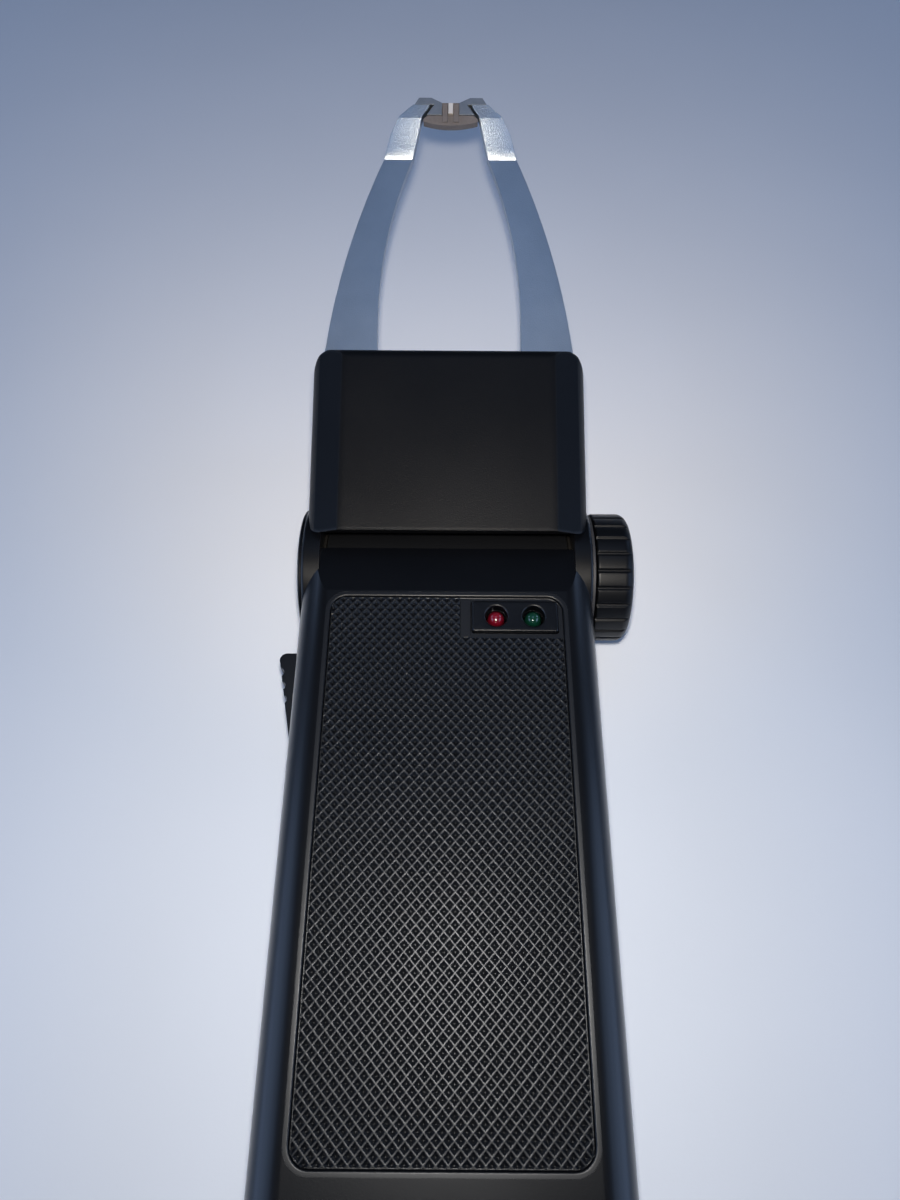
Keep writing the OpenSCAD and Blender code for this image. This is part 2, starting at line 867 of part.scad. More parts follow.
// Wedge with a boss at the pin, a rounded nose, three notches, a stop lip and a nib for the switch
module trigger_plan() {
    out = -half_w - trigger_proud;
    nose = 1.2;
    difference() {
        union() {
            translate([pivot_x, pivot_y])
                circle(pivot_boss_r);
            polygon([
                [pivot_x + pivot_boss_r, pivot_y],
                [lever_in, nib_y - 4],
                [nib_x, nib_y - 1.2],
                [nib_x, nib_y + 1.2],
                [lever_in, nib_y + 3],
                [lever_in, trigger_front],
                [out + nose, trigger_front],
                [out, trigger_front - nose],
                [-half_w, pivot_y + 0.8],
                [pivot_x - pivot_boss_r, pivot_y]
            ]);
            translate([out + nose, trigger_front - nose])
                circle(nose);
            translate([-half_w + wall + move_gap, trigger_front - 2])
                square([lever_in + half_w - wall - move_gap, lip_len + 2]);
        }
        for (i = [0 : 2])
            translate([out + 0.1 + 0.45 * i, trigger_front - 3.4 - notch_pitch * i])
                circle(notch_r);
    }
}

module trigger_pin() {
    color(steel)
    translate([pivot_x, pivot_y, pin_z0])
        cylinder(d = pin_d, h = pin_z1 - pin_z0);
}

module trigger_spring() {
    color(steel)
    translate([lever_in + fit_gap, spring_y, split_z])
        rotate([0, 90, 0])
            coil(spring_r, spring_wire, spring_post_x - lever_in - 2 * fit_gap, 4);
}

module battery_cells() {
    rear = bay_rear + contact_t;
    color([0.2, 0.3, 0.22]) {
        translate([-cell_x, rear + fit_gap + contact_spring_len, cell_z])
            rotate([-90, 0, 0])
                cell();
        translate([cell_x, rear + fit_gap + cell_len, cell_z])
            rotate([90, 0, 0])
                cell();
    }
}

// One cell along Z with its nub on top
module cell() {
    cylinder(d = cell_d, h = cell_len - nub_h);
    translate([0, 0, cell_len - nub_h])
        cylinder(d = nub_d, h = nub_h);
}

module battery_contacts() {
    plate = 10;
    color(steel)
    for (s = [-1, 1]) {
        translate([s * cell_x - plate / 2, bay_rear, cell_z - plate / 2])
            cube([plate, contact_t, plate]);
    }
    color(steel)
    translate([-cell_x - plate / 2, bay_front - contact_t - fit_gap, cell_z - plate / 2])
        cube([2 * cell_x + plate, contact_t, plate]);
}

module battery_springs() {
    front = bay_front - contact_t - fit_gap;
    color(steel)
    translate([-cell_x, bay_rear + contact_t, cell_z])
        rotate([-90, 0, 0])
            coil(contact_coil_r, contact_wire, contact_spring_len, 2);
    color(steel)
    translate([cell_x, front, cell_z])
        rotate([90, 0, 0])
            coil(contact_coil_r, contact_wire, contact_spring_len, 2);
}

module shell_screws() {
    color(steel)
    screw_places()
        translate([0, 0, screw_seat_z])
            pan_screw(screw_d, screw_head_d, screw_head_h, screw_top_z - screw_seat_z);
}

module hinge_bolt() {
    color(steel)
    at_hinge() {
        bar_x(-ear_out, ear_out + washer_t + knob_t - 2, bolt_d / 2);
        bar_x(-ear_out - bolt_head_t, -ear_out, bolt_d / 2 + 2);
    }
}

// Plain round cap over the bolt's head, with a crowned face
module pivot_cap() {
    color(black)
    at_hinge()
        rotate([0, -90, 0])
            translate([0, 0, ear_out])
                difference() {
                    rotate_extrude()
                        intersection() {
                            square([cap_r, cap_t]);
                            translate([0, cap_t - cap_crown])
                                circle(cap_crown, $fn = 256);
                        }
                    translate([0, 0, -cut])
                        cylinder(r = bolt_d / 2 + 2 + fit_gap, h = bolt_head_t + fit_gap + cut);
                }
}

// Half outline of a disc whose outer edge is rounded
module rim_profile(r, t, rim) {
    square([r, t - rim]);
    square([r - rim, t]);
    translate([r - rim, t - rim])
        intersection() {
            circle(rim);
            square(rim + cut);
        }
}

module friction_washers() {
    color([0.35, 0.2, 0.12])
    at_hinge()
        both_sides()
            difference() {
                bar_x(ear_in - friction_t, ear_in, barrel_r - 0.6);
                bar_x(ear_in - friction_t - cut, ear_in + cut, bolt_d / 2 + fit_gap);
            }
}

module spring_washer() {
    color(steel)
    at_hinge()
        difference() {
            bar_x(ear_out, ear_out + washer_t, cap_r - 0.4);
            bar_x(ear_out - cut, ear_out + washer_t + cut, bolt_d / 2 + fit_gap);
        }
}

module clamp_knob() {
    x0 = ear_out + washer_t + move_gap;
    color([0.045, 0.05, 0.06])
    at_hinge()
        translate([x0, 0, 0])
            rotate([0, 90, 0])
                difference() {
                    rotate_extrude()
                        rim_profile(knob_d / 2, knob_t, knob_rim_r);
                    for (i = [0 : knob_ribs - 1])
                        rotate([0, 0, 360 / knob_ribs * (i + 0.5)])
                            translate([knob_d / 2, 0, -cut])
                                cylinder(d = knob_groove_w, h = knob_t + 2 * cut);
                    translate([0, 0, -cut])
                        cylinder(r = bolt_d / 2 + 1.6, h = knob_t - 1.5 + cut);
                }
}

module knob_insert() {
    x0 = ear_out + washer_t + move_gap;
    color(brass)
    at_hinge()
        difference() {
            bar_x(x0, x0 + knob_t - 1.5, bolt_d / 2 + 1.6);
            bar_x(x0 - cut, x0 + knob_t - 2, bolt_d / 2 + run_gap);
        }
}

// Whole outside of the head without its barrel
module head_outside() {
    intersection() {
        along_y(head_rear - cut, head_front)
            head_section();
        translate([0, 0, -head_bottom])
            linear_extrude(head_top + head_bottom)
                head_plan();
        along_x(-head_half, head_half)
            head_side();
    }
}

// Rounded rectangle with a flat top that slopes off to both sides
module head_section() {
    intersection() {
        translate([0, (head_top - head_bottom) / 2])
            rounded_rect(head_w, head_top + head_bottom, head_edge_r);
        polygon([
            [-head_half, -head_bottom],
            [head_half, -head_bottom],
            [head_half, head_top - head_fall],
            [head_half - head_shoulder, head_top],
            [-head_half + head_shoulder, head_top],
            [-head_half, head_top - head_fall]
        ]);
    }
}

module head_plan() {
    for (s = [-1, 1])
        translate([s * (head_half - head_corner_r), head_front - head_corner_r])
            circle(head_corner_r);
    translate([-head_half, 0])
        square([head_w, head_front - head_corner_r]);
    translate([-head_half + head_corner_r, 0])
        square([head_w - 2 * head_corner_r, head_front]);
}

// Side of the head: upright rear edge on top, cut back under it to clear the nose of the handle
module head_side() {
    front = head_front - head_front_r;
    for (z = [-head_bottom + head_front_r, head_top - head_front_r])
        translate([front, z])
            circle(head_front_r);
    translate([front - cut, -head_bottom + head_front_r])
        square([head_front_r + cut, head_top + head_bottom - 2 * head_front_r]);
    polygon([
        [head_rear, head_top],
        [head_rear, head_top - head_lip],
        undercut_r * [sin(undercut_deg), cos(undercut_deg)],
        neck_r * [sin(undercut_deg + neck_turn), cos(undercut_deg + neck_turn)],
        [neck_y, 1.8 - neck_y],
        [barrel_r + 0.9, -barrel_r - 0.4],
        [barrel_r + 0.9, -head_bottom],
        [front, -head_bottom],
        [front, head_top]
    ]);
}

module ear_room() {
    both_sides()
        bar_x(side_clear, head_half + cut, ear_clear_r);
}

module head_cavity() {
    low = -head_bottom + head_wall;
    high = head_top - head_wall;
    along_y(head_cavity_mid, head_front - head_wall)
        translate([0, (low + high) / 2])
            rounded_rect(2 * head_cavity_half, high - low, head_edge_r - head_wall);
    translate([-side_clear + head_wall, head_cavity_rear, low])
        cube([2 * (side_clear - head_wall), head_cavity_mid - head_cavity_rear + cut, high - low]);
}

// Slots in the front wall that the arms leave through
module arm_slots() {
    both_sides()
        translate([arm_inner - fit_gap, head_front - head_corner_r - cut, arm_z - arm_t / 2 - fit_gap])
            cube([arm_outer - arm_inner + 4 * fit_gap, head_corner_r + 2 * cut, arm_t + 2 * fit_gap]);
}

module head_screw_places() {
    for (p = head_boss_at)
        translate([p[0], p[1], 0])
            children();
}

module head_top_shell() {
    color(black)
    in_head()
    difference() {
        intersection() {
            union() {
                difference() {
                    head_outside();
                    head_cavity();
                }
                head_screw_places()
                    cylinder(d = head_boss_d, h = head_top - head_wall + fit_gap);
            }
            translate([-head_half, 0, arm_z])
                cube([head_w, head_front, head_top]);
        }
        ear_room();
        bar_x(-head_half, head_half, barrel_r + fit_gap);
        arm_slots();
        head_screw_places()
            cylinder(d = head_screw_d + 2 * fit_gap, h = head_top - head_wall);
    }
}

module head_bottom_shell() {
    low = -head_bottom + head_wall;
    color(black)
    in_head()
    difference() {
        union() {
            difference() {
                intersection() {
                    union() {
                        difference() {
                            head_outside();
                            head_cavity();
                        }
                        head_screw_places()
                            translate([0, 0, low - fit_gap])
                                cylinder(d = head_boss_d, h = head_top);
                        both_sides()
                            translate([bobbin_half + 2, yoke_y - yoke_w / 2, low - fit_gap])
                                cube([5, yoke_w, yoke_top - yoke_t - low + fit_gap]);
                    }
                    translate([-head_half, 0, -head_bottom])
                        cube([head_w, head_front, head_bottom + arm_z]);
                }
                ear_room();
            }
            bar_x(-side_clear, side_clear, barrel_r);
        }
        arm_slots();
        head_screw_places() {
            translate([0, 0, -head_bottom - cut])
                cylinder(d = head_screw_d + 2 * fit_gap, h = head_top + head_bottom);
            translate([0, 0, -head_bottom - cut])
                cylinder(d = 4.4 + 2 * fit_gap, h = 3 + cut);
        }
        bar_x(-ear_in, ear_in, bolt_d / 2 + run_gap);
    }
}

module core_yoke() {
    color([0.35, 0.36, 0.38])
    in_head()
    difference() {
        translate([-yoke_half, yoke_y - yoke_w / 2, yoke_top - yoke_t])
            cube([2 * yoke_half, yoke_w, yoke_t]);
        for (s = [-1, 1])
            translate([s * arm_screw_x, yoke_y, yoke_top - yoke_t - cut])
                cylinder(d = arm_screw_d + 2 * fit_gap, h = yoke_t + 2 * cut);
    }
}

// Section of the bobbin and winding round the yoke, grown outwards by g
module yoke_section(g) {
    translate([yoke_y, yoke_top - yoke_t / 2])
        square([yoke_w + 2 * g, yoke_t + 2 * g], center = true);
}

module coil_bobbin() {
    color([0.8, 0.75, 0.6])
    in_head()
    difference() {
        union() {
            along_x(-bobbin_half, bobbin_half)
                yoke_section(fit_gap + bobbin_wall);
            for (x = [-bobbin_half, bobbin_half - bobbin_flange])
                along_x(x, x + bobbin_flange)
                    yoke_section(fit_gap + bobbin_wall + winding_t);
        }
        along_x(-bobbin_half - cut, bobbin_half + cut)
            yoke_section(fit_gap);
    }
}

module coil_winding() {
    inner = fit_gap + bobbin_wall + 0.02;
    outer = inner + winding_t - 0.8;
    color([0.6, 0.3, 0.15])
    in_head()
    along_x(-bobbin_half + bobbin_flange + fit_gap, bobbin_half - bobbin_flange - fit_gap)
        difference() {
            translate([yoke_y, yoke_top - yoke_t / 2])
                rounded_rect(yoke_w + 2 * outer, yoke_t + 2 * outer, 3);
            yoke_section(inner);
        }
}

// Bent strip seen from the side: flat run, bent-up section, end facet that falls back
module arm_side() {
    half = arm_t / 2;
    knee = half * tan(bend_deg / 2);
    mitre = half / cos(facet_deg / 2);
    lean = bend_deg - facet_deg / 2;
    foot = [crease_y + bend_run, arm_z + bend_rise];
    end = foot + facet_len * [cos(facet_slope), sin(facet_slope)];
    polygon([
        [arm_root_y, arm_z - half],
        [crease_y + knee, arm_z - half],
        foot + mitre * [sin(lean), -cos(lean)],
        end + half * [sin(facet_slope), -cos(facet_slope)],
        end - half * [sin(facet_slope), -cos(facet_slope)],
        foot - mitre * [sin(lean), -cos(lean)],
        [crease_y - knee, arm_z + half],
        [arm_root_y, arm_z + half]
    ]);
}

// Right arm in plan: bowed outer edge, inner edge straight and then bowed, tapered end
module arm_plan() {
    start = head_front + arm_curve_start;
    far = arm_lead + crease_reach;
    outer_in = arm_outer - crease_outer;
    outer_root = ((far * far - arm_lead * arm_lead) / outer_in + outer_in) / 2;
    outer_curve = sqrt(outer_root * outer_root + arm_lead * arm_lead);
    run = crease_reach - arm_curve_start;
    inner_in = arm_inner - crease_inner;
    inner_curve = (run * run + inner_in * inner_in) / (2 * inner_in);
    foot = crease_y + bend_run;
    end = foot + facet_len * cos(facet_slope);
    intersection() {
        difference() {
            translate([arm_outer - outer_root, head_front - arm_lead])
                circle(outer_curve, $fn = 256);
            translate([arm_inner - inner_curve, start])
                circle(inner_curve, $fn = 256);
            translate([-arm_outer, 0])
                square([arm_outer + arm_inner, start]);
        }
        polygon([
            [0, arm_root_y],
            [arm_root_outer, arm_root_y],
            [arm_root_outer, head_front - head_wall],
            [arm_outer + cut, head_front - head_wall],
            [arm_outer + cut, crease_y - 4],
            [crease_outer + 0.5, crease_y],
            [facet_outer + 1.9, crease_y + 0.52 * bend_run],
            [facet_outer, foot],
            [tip_outer, end],
            [tip_outer, end + cut],
            [tip_inner, end + cut],
            [tip_inner, end],
            [facet_inner, foot],
            [crease_inner, crease_y],
            [0, crease_y]
        ]);
    }
}

module pole_arm() {
    difference() {
        intersection() {
            along_x(0, arm_outer + cut)
                arm_side();
            linear_extrude(crease_y)
                arm_plan();
        }
        translate([arm_screw_x, yoke_y, 0])
            cylinder(d = arm_screw_d + 2 * fit_gap, h = head_top);
    }
}

// Frame of the end facets in the head: Y along the strips, Z out of their upper face
module at_facet() {
    translate([0, crease_y + bend_run, arm_z + bend_rise])
        rotate([facet_slope, 0, 0])
            children();
}

module pole_arm_right() {
    color([0.6, 0.66, 0.72])
    in_head()
        pole_arm();
}

module pole_arm_left() {
    color([0.6, 0.66, 0.72])
    in_head()
        mirror([1, 0, 0])
            pole_arm();
}

module arm_screws() {
    color(steel)
    in_head()
    for (s = [-1, 1])
        translate([s * arm_screw_x, yoke_y, arm_z + arm_t / 2])
            mirror([0, 0, 1])
                pan_screw(arm_screw_d, arm_screw_head_d, arm_screw_head_h, arm_t + yoke_t);
}

module head_screws() {
    color(steel)
    in_head()
    head_screw_places()
        translate([0, 0, -head_bottom + 3])
            pan_screw(head_screw_d, 4.2, 1.6, head_top + head_bottom - 8);
}

// Brown saddle between and behind the end facets, with a bowed lower edge and two ribs
module tip_holder() {
    half = facet_inner - 2 * fit_gap;
    bow_r = (half * half + holder_bow * holder_bow) / (2 * holder_bow);
    taper = (facet_inner - tip_inner) / facet_len;
    color([0.42, 0.38, 0.36])
    in_head()
    at_facet() {
        translate([-facet_inner - 1, 0.8, -arm_t / 2 - holder_back])
            cube([2 * facet_inner + 2, facet_len + shoe_cap - 1, holder_back]);
        translate([0, 0, -arm_t / 2 - 0.5])
            linear_extrude(arm_t + 0.3)
                intersection() {
                    translate([0, bow_r - holder_drop])
                        circle(bow_r, $fn = 128);
                    polygon([
                        [-half, -holder_drop],
                        [half, -holder_drop],
                        [half, -0.2],
                        [half - 0.8, 0.4],
                        [-half + 0.8, 0.4],
                        [-half, -0.2]
                    ]);
                }
        translate([-half + taper * 0.9, 0, -arm_t / 2 - holder_back])
            cube([2 * (half - taper * 0.9), 0.9, holder_back]);
        for (s = [0, 1])
            mirror([s, 0, 0])
                translate([rib_x, -0.9, -arm_t / 2 - fit_gap])
                    cube([rib_w, facet_len + 0.8, arm_t + 0.3]);
    }
}

// Dark iron block beside the ribs that follows the arm's edge and caps its end
module pole_shoe() {
    taper = (facet_inner - tip_inner) / facet_len;
    foot = 0.5;
    seat = facet_len + fit_gap;
    translate([0, 0, -arm_t / 2])
        linear_extrude(arm_t - 0.2)
            polygon([
                [shoe_x, foot],
                [facet_inner - taper * foot - 4 * fit_gap, foot],
                [tip_inner - 4 * fit_gap, facet_len],
                [tip_inner - 4 * fit_gap, seat],
                [tip_outer, seat],
                [tip_outer - 0.8, facet_len + shoe_cap],
                [shoe_x + shoe_slant_w, facet_len + shoe_cap],
                [shoe_x, facet_len + shoe_cap - shoe_slant]
            ]);
}

module pole_shoe_right() {
    color([0.2, 0.21, 0.22])
    in_head()
    at_facet()
        pole_shoe();
}

module pole_shoe_left() {
    color([0.2, 0.21, 0.22])
    in_head()
    at_facet()
        mirror([1, 0, 0])
            pole_shoe();
}

// Bright strip between the ribs, let into the saddle
module gap_shim() {
    color([0.75, 0.7, 0.66])
    in_head()
    at_facet()
        translate([-shim_t / 2, 0.5, -arm_t / 2])
            cube([shim_t, facet_len - 0.3, arm_t + 0.3]);
}

handle_bottom_shell();
handle_top_shell();
grip_panel();
lamp_bezel();
red_lamp();
green_lamp();
circuit_board();
board_screws();
charge_capacitor();
converter_coil();
switching_transistor();
switch_body();
switch_plunger();
trigger_lever();
trigger_pin();
trigger_spring();
battery_cells();
battery_contacts();
battery_springs();
battery_door();
shell_screws();
hinge_bolt();
pivot_cap();
friction_washers();
spring_washer();
clamp_knob();
knob_insert();
head_top_shell();
head_bottom_shell();
core_yoke();
coil_bobbin();
coil_winding();
pole_arm_left();
pole_arm_right();
arm_screws();
head_screws();
tip_holder();
pole_shoe_left();
pole_shoe_right();
gap_shim();
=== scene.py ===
import json
import math

import bmesh
import bpy
from bpy.props import FloatProperty, FloatVectorProperty, IntProperty, PointerProperty
from mathutils import Matrix, Vector

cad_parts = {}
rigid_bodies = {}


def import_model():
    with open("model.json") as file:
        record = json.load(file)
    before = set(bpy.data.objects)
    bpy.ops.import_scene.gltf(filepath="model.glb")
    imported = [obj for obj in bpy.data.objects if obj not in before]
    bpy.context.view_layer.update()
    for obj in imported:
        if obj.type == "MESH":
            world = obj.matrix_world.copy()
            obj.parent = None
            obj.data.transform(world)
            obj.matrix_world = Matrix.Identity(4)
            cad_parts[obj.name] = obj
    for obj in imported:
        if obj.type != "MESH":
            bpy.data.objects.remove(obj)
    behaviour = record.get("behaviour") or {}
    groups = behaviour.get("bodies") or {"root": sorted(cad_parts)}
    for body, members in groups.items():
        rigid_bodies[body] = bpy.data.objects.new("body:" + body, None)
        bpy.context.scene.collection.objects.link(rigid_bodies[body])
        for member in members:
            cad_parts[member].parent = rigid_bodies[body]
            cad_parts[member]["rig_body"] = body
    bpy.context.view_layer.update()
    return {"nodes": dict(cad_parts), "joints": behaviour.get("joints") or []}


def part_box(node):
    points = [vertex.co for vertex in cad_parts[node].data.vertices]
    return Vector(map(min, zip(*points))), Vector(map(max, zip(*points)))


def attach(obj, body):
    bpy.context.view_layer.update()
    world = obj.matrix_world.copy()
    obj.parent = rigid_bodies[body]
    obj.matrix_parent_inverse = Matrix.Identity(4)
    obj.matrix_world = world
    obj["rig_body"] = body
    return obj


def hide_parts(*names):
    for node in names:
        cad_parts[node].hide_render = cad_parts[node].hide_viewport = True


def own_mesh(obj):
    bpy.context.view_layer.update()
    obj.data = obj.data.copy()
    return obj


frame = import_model()

bl_info = {
    "name": "Tape head demagnetizer",
    "version": (1, 0, 0),
    "blender": (4, 5, 0),
    "location": "3D View > Sidebar > Demagnetizer",
    "description": "Dresses the packed solids of a hand-held tape head demagnetizer",
    "category": "Object",
}

MM = 0.001
TURN = 2 * math.pi
NODES = frame["nodes"]
JOINTS = {joint["name"]: joint for joint in frame["joints"]}
HEAD_PITCH = math.radians(17)
HINGE = Vector(JOINTS["head_tilt"]["pos_m"])
ROW = Matrix.Identity(4)
HEAD = Matrix.Translation(HINGE) @ Matrix.Rotation(HEAD_PITCH, 4, "X")
BARREL_RADIUS = 8.8 * MM
CREASE_Y = 138.4 * MM
CREASE_INNER = 7 * MM
CREASE_WIDTH = 5.2 * MM
CREASE_TAPER = 0.5
LEAN_INNER = 0.17
LEAN_ACROSS = 0.3
POLISH_FROM = 0.1
POLISH_GAIN = 2
RIM_STRENGTH = 12.0
SOCKETS = {"roughness": "Roughness", "metallic": "Metallic", "ior": "IOR",
           "specular": "Specular IOR Level", "coat": "Coat Weight", "coat_roughness": "Coat Roughness"}


# Sizes and colours that a user would change

class DemagSizes(bpy.types.PropertyGroup):
    """Sizes of the finer shapes."""

    grip_across: FloatProperty(
        name="Grip pitch across", description="Diamond pitch across the handle",
        default=1.5 * MM, subtype="DISTANCE", unit="LENGTH")
    grip_along: FloatProperty(
        name="Grip pitch along", description="Diamond pitch along the handle",
        default=1.68 * MM, subtype="DISTANCE", unit="LENGTH")
    grip_depth: FloatProperty(
        name="Grip depth", description="Depth of the pits between the ridges",
        default=0.44 * MM, subtype="DISTANCE", unit="LENGTH")
    grip_ridge: FloatProperty(
        name="Ridge share", description="Half width of a ridge as a share of a pit's side",
        default=0.12, subtype="FACTOR", min=0.05, max=0.3)
    rim: FloatProperty(
        name="Border rim", description="Width of the flat rim round the grip panel",
        default=0.35 * MM, subtype="DISTANCE", unit="LENGTH")
    plastic_edge: FloatProperty(
        name="Moulded edge", description="Rounding of small moulded edges",
        default=0.3 * MM, subtype="DISTANCE", unit="LENGTH")
    metal_edge: FloatProperty(
        name="Metal edge", description="Rounding of stamped metal edges",
        default=0.45 * MM, subtype="DISTANCE", unit="LENGTH")
    knob_groove: FloatProperty(
        name="Knob groove", description="Depth of the grooves between the knob's ribs",
        default=0.35 * MM, subtype="DISTANCE", unit="LENGTH")
    knob_ribs: IntProperty(
        name="Knob ribs", description="Number of ribs round the knob", default=24, min=8, max=48)


class DemagColours(bpy.types.PropertyGroup):
    """Base colours of the finishes."""

    plastic: FloatVectorProperty(
        name="Plastic", description="Black moulded shells", subtype="COLOR",
        default=(0.0012, 0.0015, 0.0024))
    # Colour of rubbed edges (real wear), also used for the painted sheen on the head's hinge barrel
    wear_and_sheen: FloatVectorProperty(
        name="Worn plastic", description="Rubbed edges of the shells", subtype="COLOR",
        default=(0.012, 0.0125, 0.0135))
    steel: FloatVectorProperty(
        name="Arm steel", description="Satin plated arms", subtype="COLOR",
        default=(0.44, 0.495, 0.55))
    red: FloatVectorProperty(
        name="Red lamp", description="Lens of the left lamp", subtype="COLOR",
        default=(0.1, 0.002, 0.008))
    green: FloatVectorProperty(
        name="Green lamp", description="Lens of the right lamp", subtype="COLOR",
        default=(0.002, 0.024, 0.014))
    resin: FloatVectorProperty(
        name="Tip resin", description="Saddle between the arm ends", subtype="COLOR",
        default=(0.12, 0.106, 0.103))
    table: FloatVectorProperty(
        name="Table", description="Pale floor under the object", subtype="COLOR",
        default=(0.74, 0.76, 0.8))
    light: FloatVectorProperty(
        name="Light", description="Tint of the lamps that light the scene", subtype="COLOR",
        default=(1.0, 0.985, 0.96))
    beam: FloatVectorProperty(
        name="Beam", description="Tint of the forward beam of the lamp above the grip", subtype="COLOR",
        default=(1.0, 0.8, 0.55))
    room: FloatVectorProperty(
        name="Room", description="Tint of the soft light from above and around", subtype="COLOR",
        default=(0.44, 0.62, 1.0))


def sizes():
    return bpy.context.scene.demag_sizes


def colours():
    return bpy.context.scene.demag_colours


# Finishes

class Wire:
    """An output socket of a finish; sums written with it add Math nodes."""

    def __init__(self, finish, socket):
        self.finish = finish
        self.socket = socket

    def _sum(self, operation, *inputs):
        return self.finish.node("ShaderNodeMath", {"operation": operation}, inputs)

    def __add__(self, other):
        return self._sum("ADD", self, other)

    def __radd__(self, other):
        return self._sum("ADD", other, self)

    def __sub__(self, other):
        return self._sum("SUBTRACT", self, other)

    def __rsub__(self, other):
        return self._sum("SUBTRACT", other, self)

    def __mul__(self, other):
        return self._sum("MULTIPLY", self, other)

    def __rmul__(self, other):
        return self._sum("MULTIPLY", other, self)

    def __gt__(self, other):
        return self._sum("GREATER_THAN", self, other)

    def __abs__(self):
        return self._sum("ABSOLUTE", self)

    def sine(self):
        return self._sum("SINE", self)

    def clamped(self):
        return self.finish.node("ShaderNodeClamp", {}, [self])

    def part(self, axis):
        """One axis of a vector."""
        return self.finish.node("ShaderNodeSeparateXYZ", {}, [self], axis)


class Finish:
    """A procedural material on a Principled shader."""

    def __init__(self, name, **constants):
        self.material = bpy.data.materials.new(name)
        self.material.use_nodes = True
        self.tree = self.material.node_tree
        self.shader = self.tree.nodes["Principled BSDF"]
        for socket, value in constants.items():
            self.put(SOCKETS[socket], value)

    def feed(self, socket, value):
        if isinstance(value, Wire):
            self.tree.links.new(value.socket, socket)
        elif hasattr(socket.default_value, "__len__") and len(value) < len(socket.default_value):
            socket.default_value = (*value, 1.0)
        else:
            socket.default_value = value

    def put(self, name, value):
        self.feed(self.shader.inputs[name], value)

    def node(self, kind, settings=None, inputs=None, output=0):
        made = self.tree.nodes.new(kind)
        for key, value in (settings or {}).items():
            setattr(made, key, value)
        fed = enumerate(inputs or ()) if not isinstance(inputs, dict) else inputs.items()
        for key, value in fed:
            self.feed(made.inputs[key], value)
        return Wire(self, made.outputs[output])

    def place(self, stretch=None):
        """Where a point lies in the row frame, in metres, stretched per axis if asked."""
        spot = self.node("ShaderNodeTexCoord", output="Object")
        if stretch is None:
            return spot
        return self.node("ShaderNodeVectorMath", {"operation": "MULTIPLY"}, [spot, stretch])

    def noise(self, spot, size, detail=2.0, roughness=0.5):
        """Noise whose lumps are about size metres."""
        return self.node("ShaderNodeTexNoise", {}, {
            "Vector": spot, "Scale": 1 / size, "Detail": detail, "Roughness": roughness})

    def mix(self, share, first, second):
        """Mixed colour: a Mix node takes colours on sockets 6 and 7 and gives them on 2."""
        return self.node("ShaderNodeMix", {"data_type": "RGBA"},
                         {0: share, 6: rgba(first), 7: rgba(second)}, 2)

    def bump(self, height, depth, normal=None):
        inputs = {"Strength": 1.0, "Distance": depth, "Height": height}
        if normal is not None:
            inputs["Normal"] = normal
        return self.node("ShaderNodeBump", {}, inputs)

    def soft_edge(self, radius):
        """Normal that rolls over sharp edges."""
        return self.node("ShaderNodeBevel", {"samples": 4}, {"Radius": radius})

    def rubbed(self, soft, strength):
        """Mask that is 1 on sharp edges and 0 on open faces."""
        true = self.node("ShaderNodeNewGeometry", output="Normal")
        facing = self.node("ShaderNodeVectorMath", {"operation": "DOT_PRODUCT"}, [soft, true], "Value")
        return ((1 - facing) * strength).clamped()


def rgba(value):
    return value if isinstance(value, Wire) else (*tuple(value)[:3], 1.0)


def lighter(colour, times):
    return tuple(min(1.0, part * times) for part in colour)


def moulded(name, colour, rough, grain=0.28 * MM, depth=0.02 * MM, wear=2.2, edge=0.22 * MM, gloss=0.35,
            polish=0.0, rim=0.0, barrel_sheen=0.0):
    """Moulded plastic with eroded grain, clouds of handling, rubbed edges and hand-polished sides.

    rim polishes the edges, and the last argument paints a lighter sheen, a painted reflection in the
    edge-wear colour, on what lies inside the hinge barrel's radius.
    """
    finish = Finish(name, specular=gloss, coat_roughness=0.3)
    spot = finish.place()
    fine = finish.noise(spot, grain, 2.0, 0.6)
    cloud = finish.noise(spot, 16 * MM, 3.0)
    soft = finish.soft_edge(edge)
    shade = finish.mix(cloud, lighter(colour, 0.75), lighter(colour, 1.35))
    wear_and_sheen = finish.rubbed(soft, wear) * (0.35 + cloud * 0.9)
    reach = finish.node("ShaderNodeVectorMath", {"operation": "DISTANCE"},
                        [finish.place((0, 1, 1)), (0.0, HINGE.y, HINGE.z)], "Value")
    # Painted reflection: inside the hinge barrel's radius the edge-wear colour is mixed in as a lighter
    # sheen
    wear_and_sheen = wear_and_sheen + (1 - (reach > BARREL_RADIUS)) * barrel_sheen
    finish.put("Base Color", finish.mix(wear_and_sheen.clamped(), shade, colours().wear_and_sheen))
    finish.put("Roughness", rough - 0.1 + cloud * 0.12 + fine * 0.08)
    finish.put("Normal", finish.bump(fine, depth, soft))
    handled = ((abs(soft.part("X")) - POLISH_FROM) * POLISH_GAIN).clamped() * polish
    finish.put("Coat Weight", (handled + finish.rubbed(soft, RIM_STRENGTH) * rim).clamped())
    return finish.material


def black_plastic(name):
    return moulded(name, colours().plastic, 0.36, depth=0.008 * MM, wear=1.0, edge=0.08 * MM,
                   gloss=0.2, polish=0.9)


def head_plastic(name):
    # barrel share: how strongly the hinge barrel gets its painted sheen
    return moulded(name, colours().plastic, 0.42, grain=0.22 * MM, depth=0.03 * MM, edge=0.7 * MM,
                   gloss=0.16, rim=0.45, barrel_sheen=0.35)


def grip_plastic(name):
    return moulded(name, colours().plastic, 0.4, depth=0.004 * MM, edge=0.05 * MM, wear=0.4, gloss=0.36)


def knob_plastic(name):
    return moulded(name, lighter(colours().plastic, 0.8), 0.4, depth=0.01 * MM, gloss=0.28)


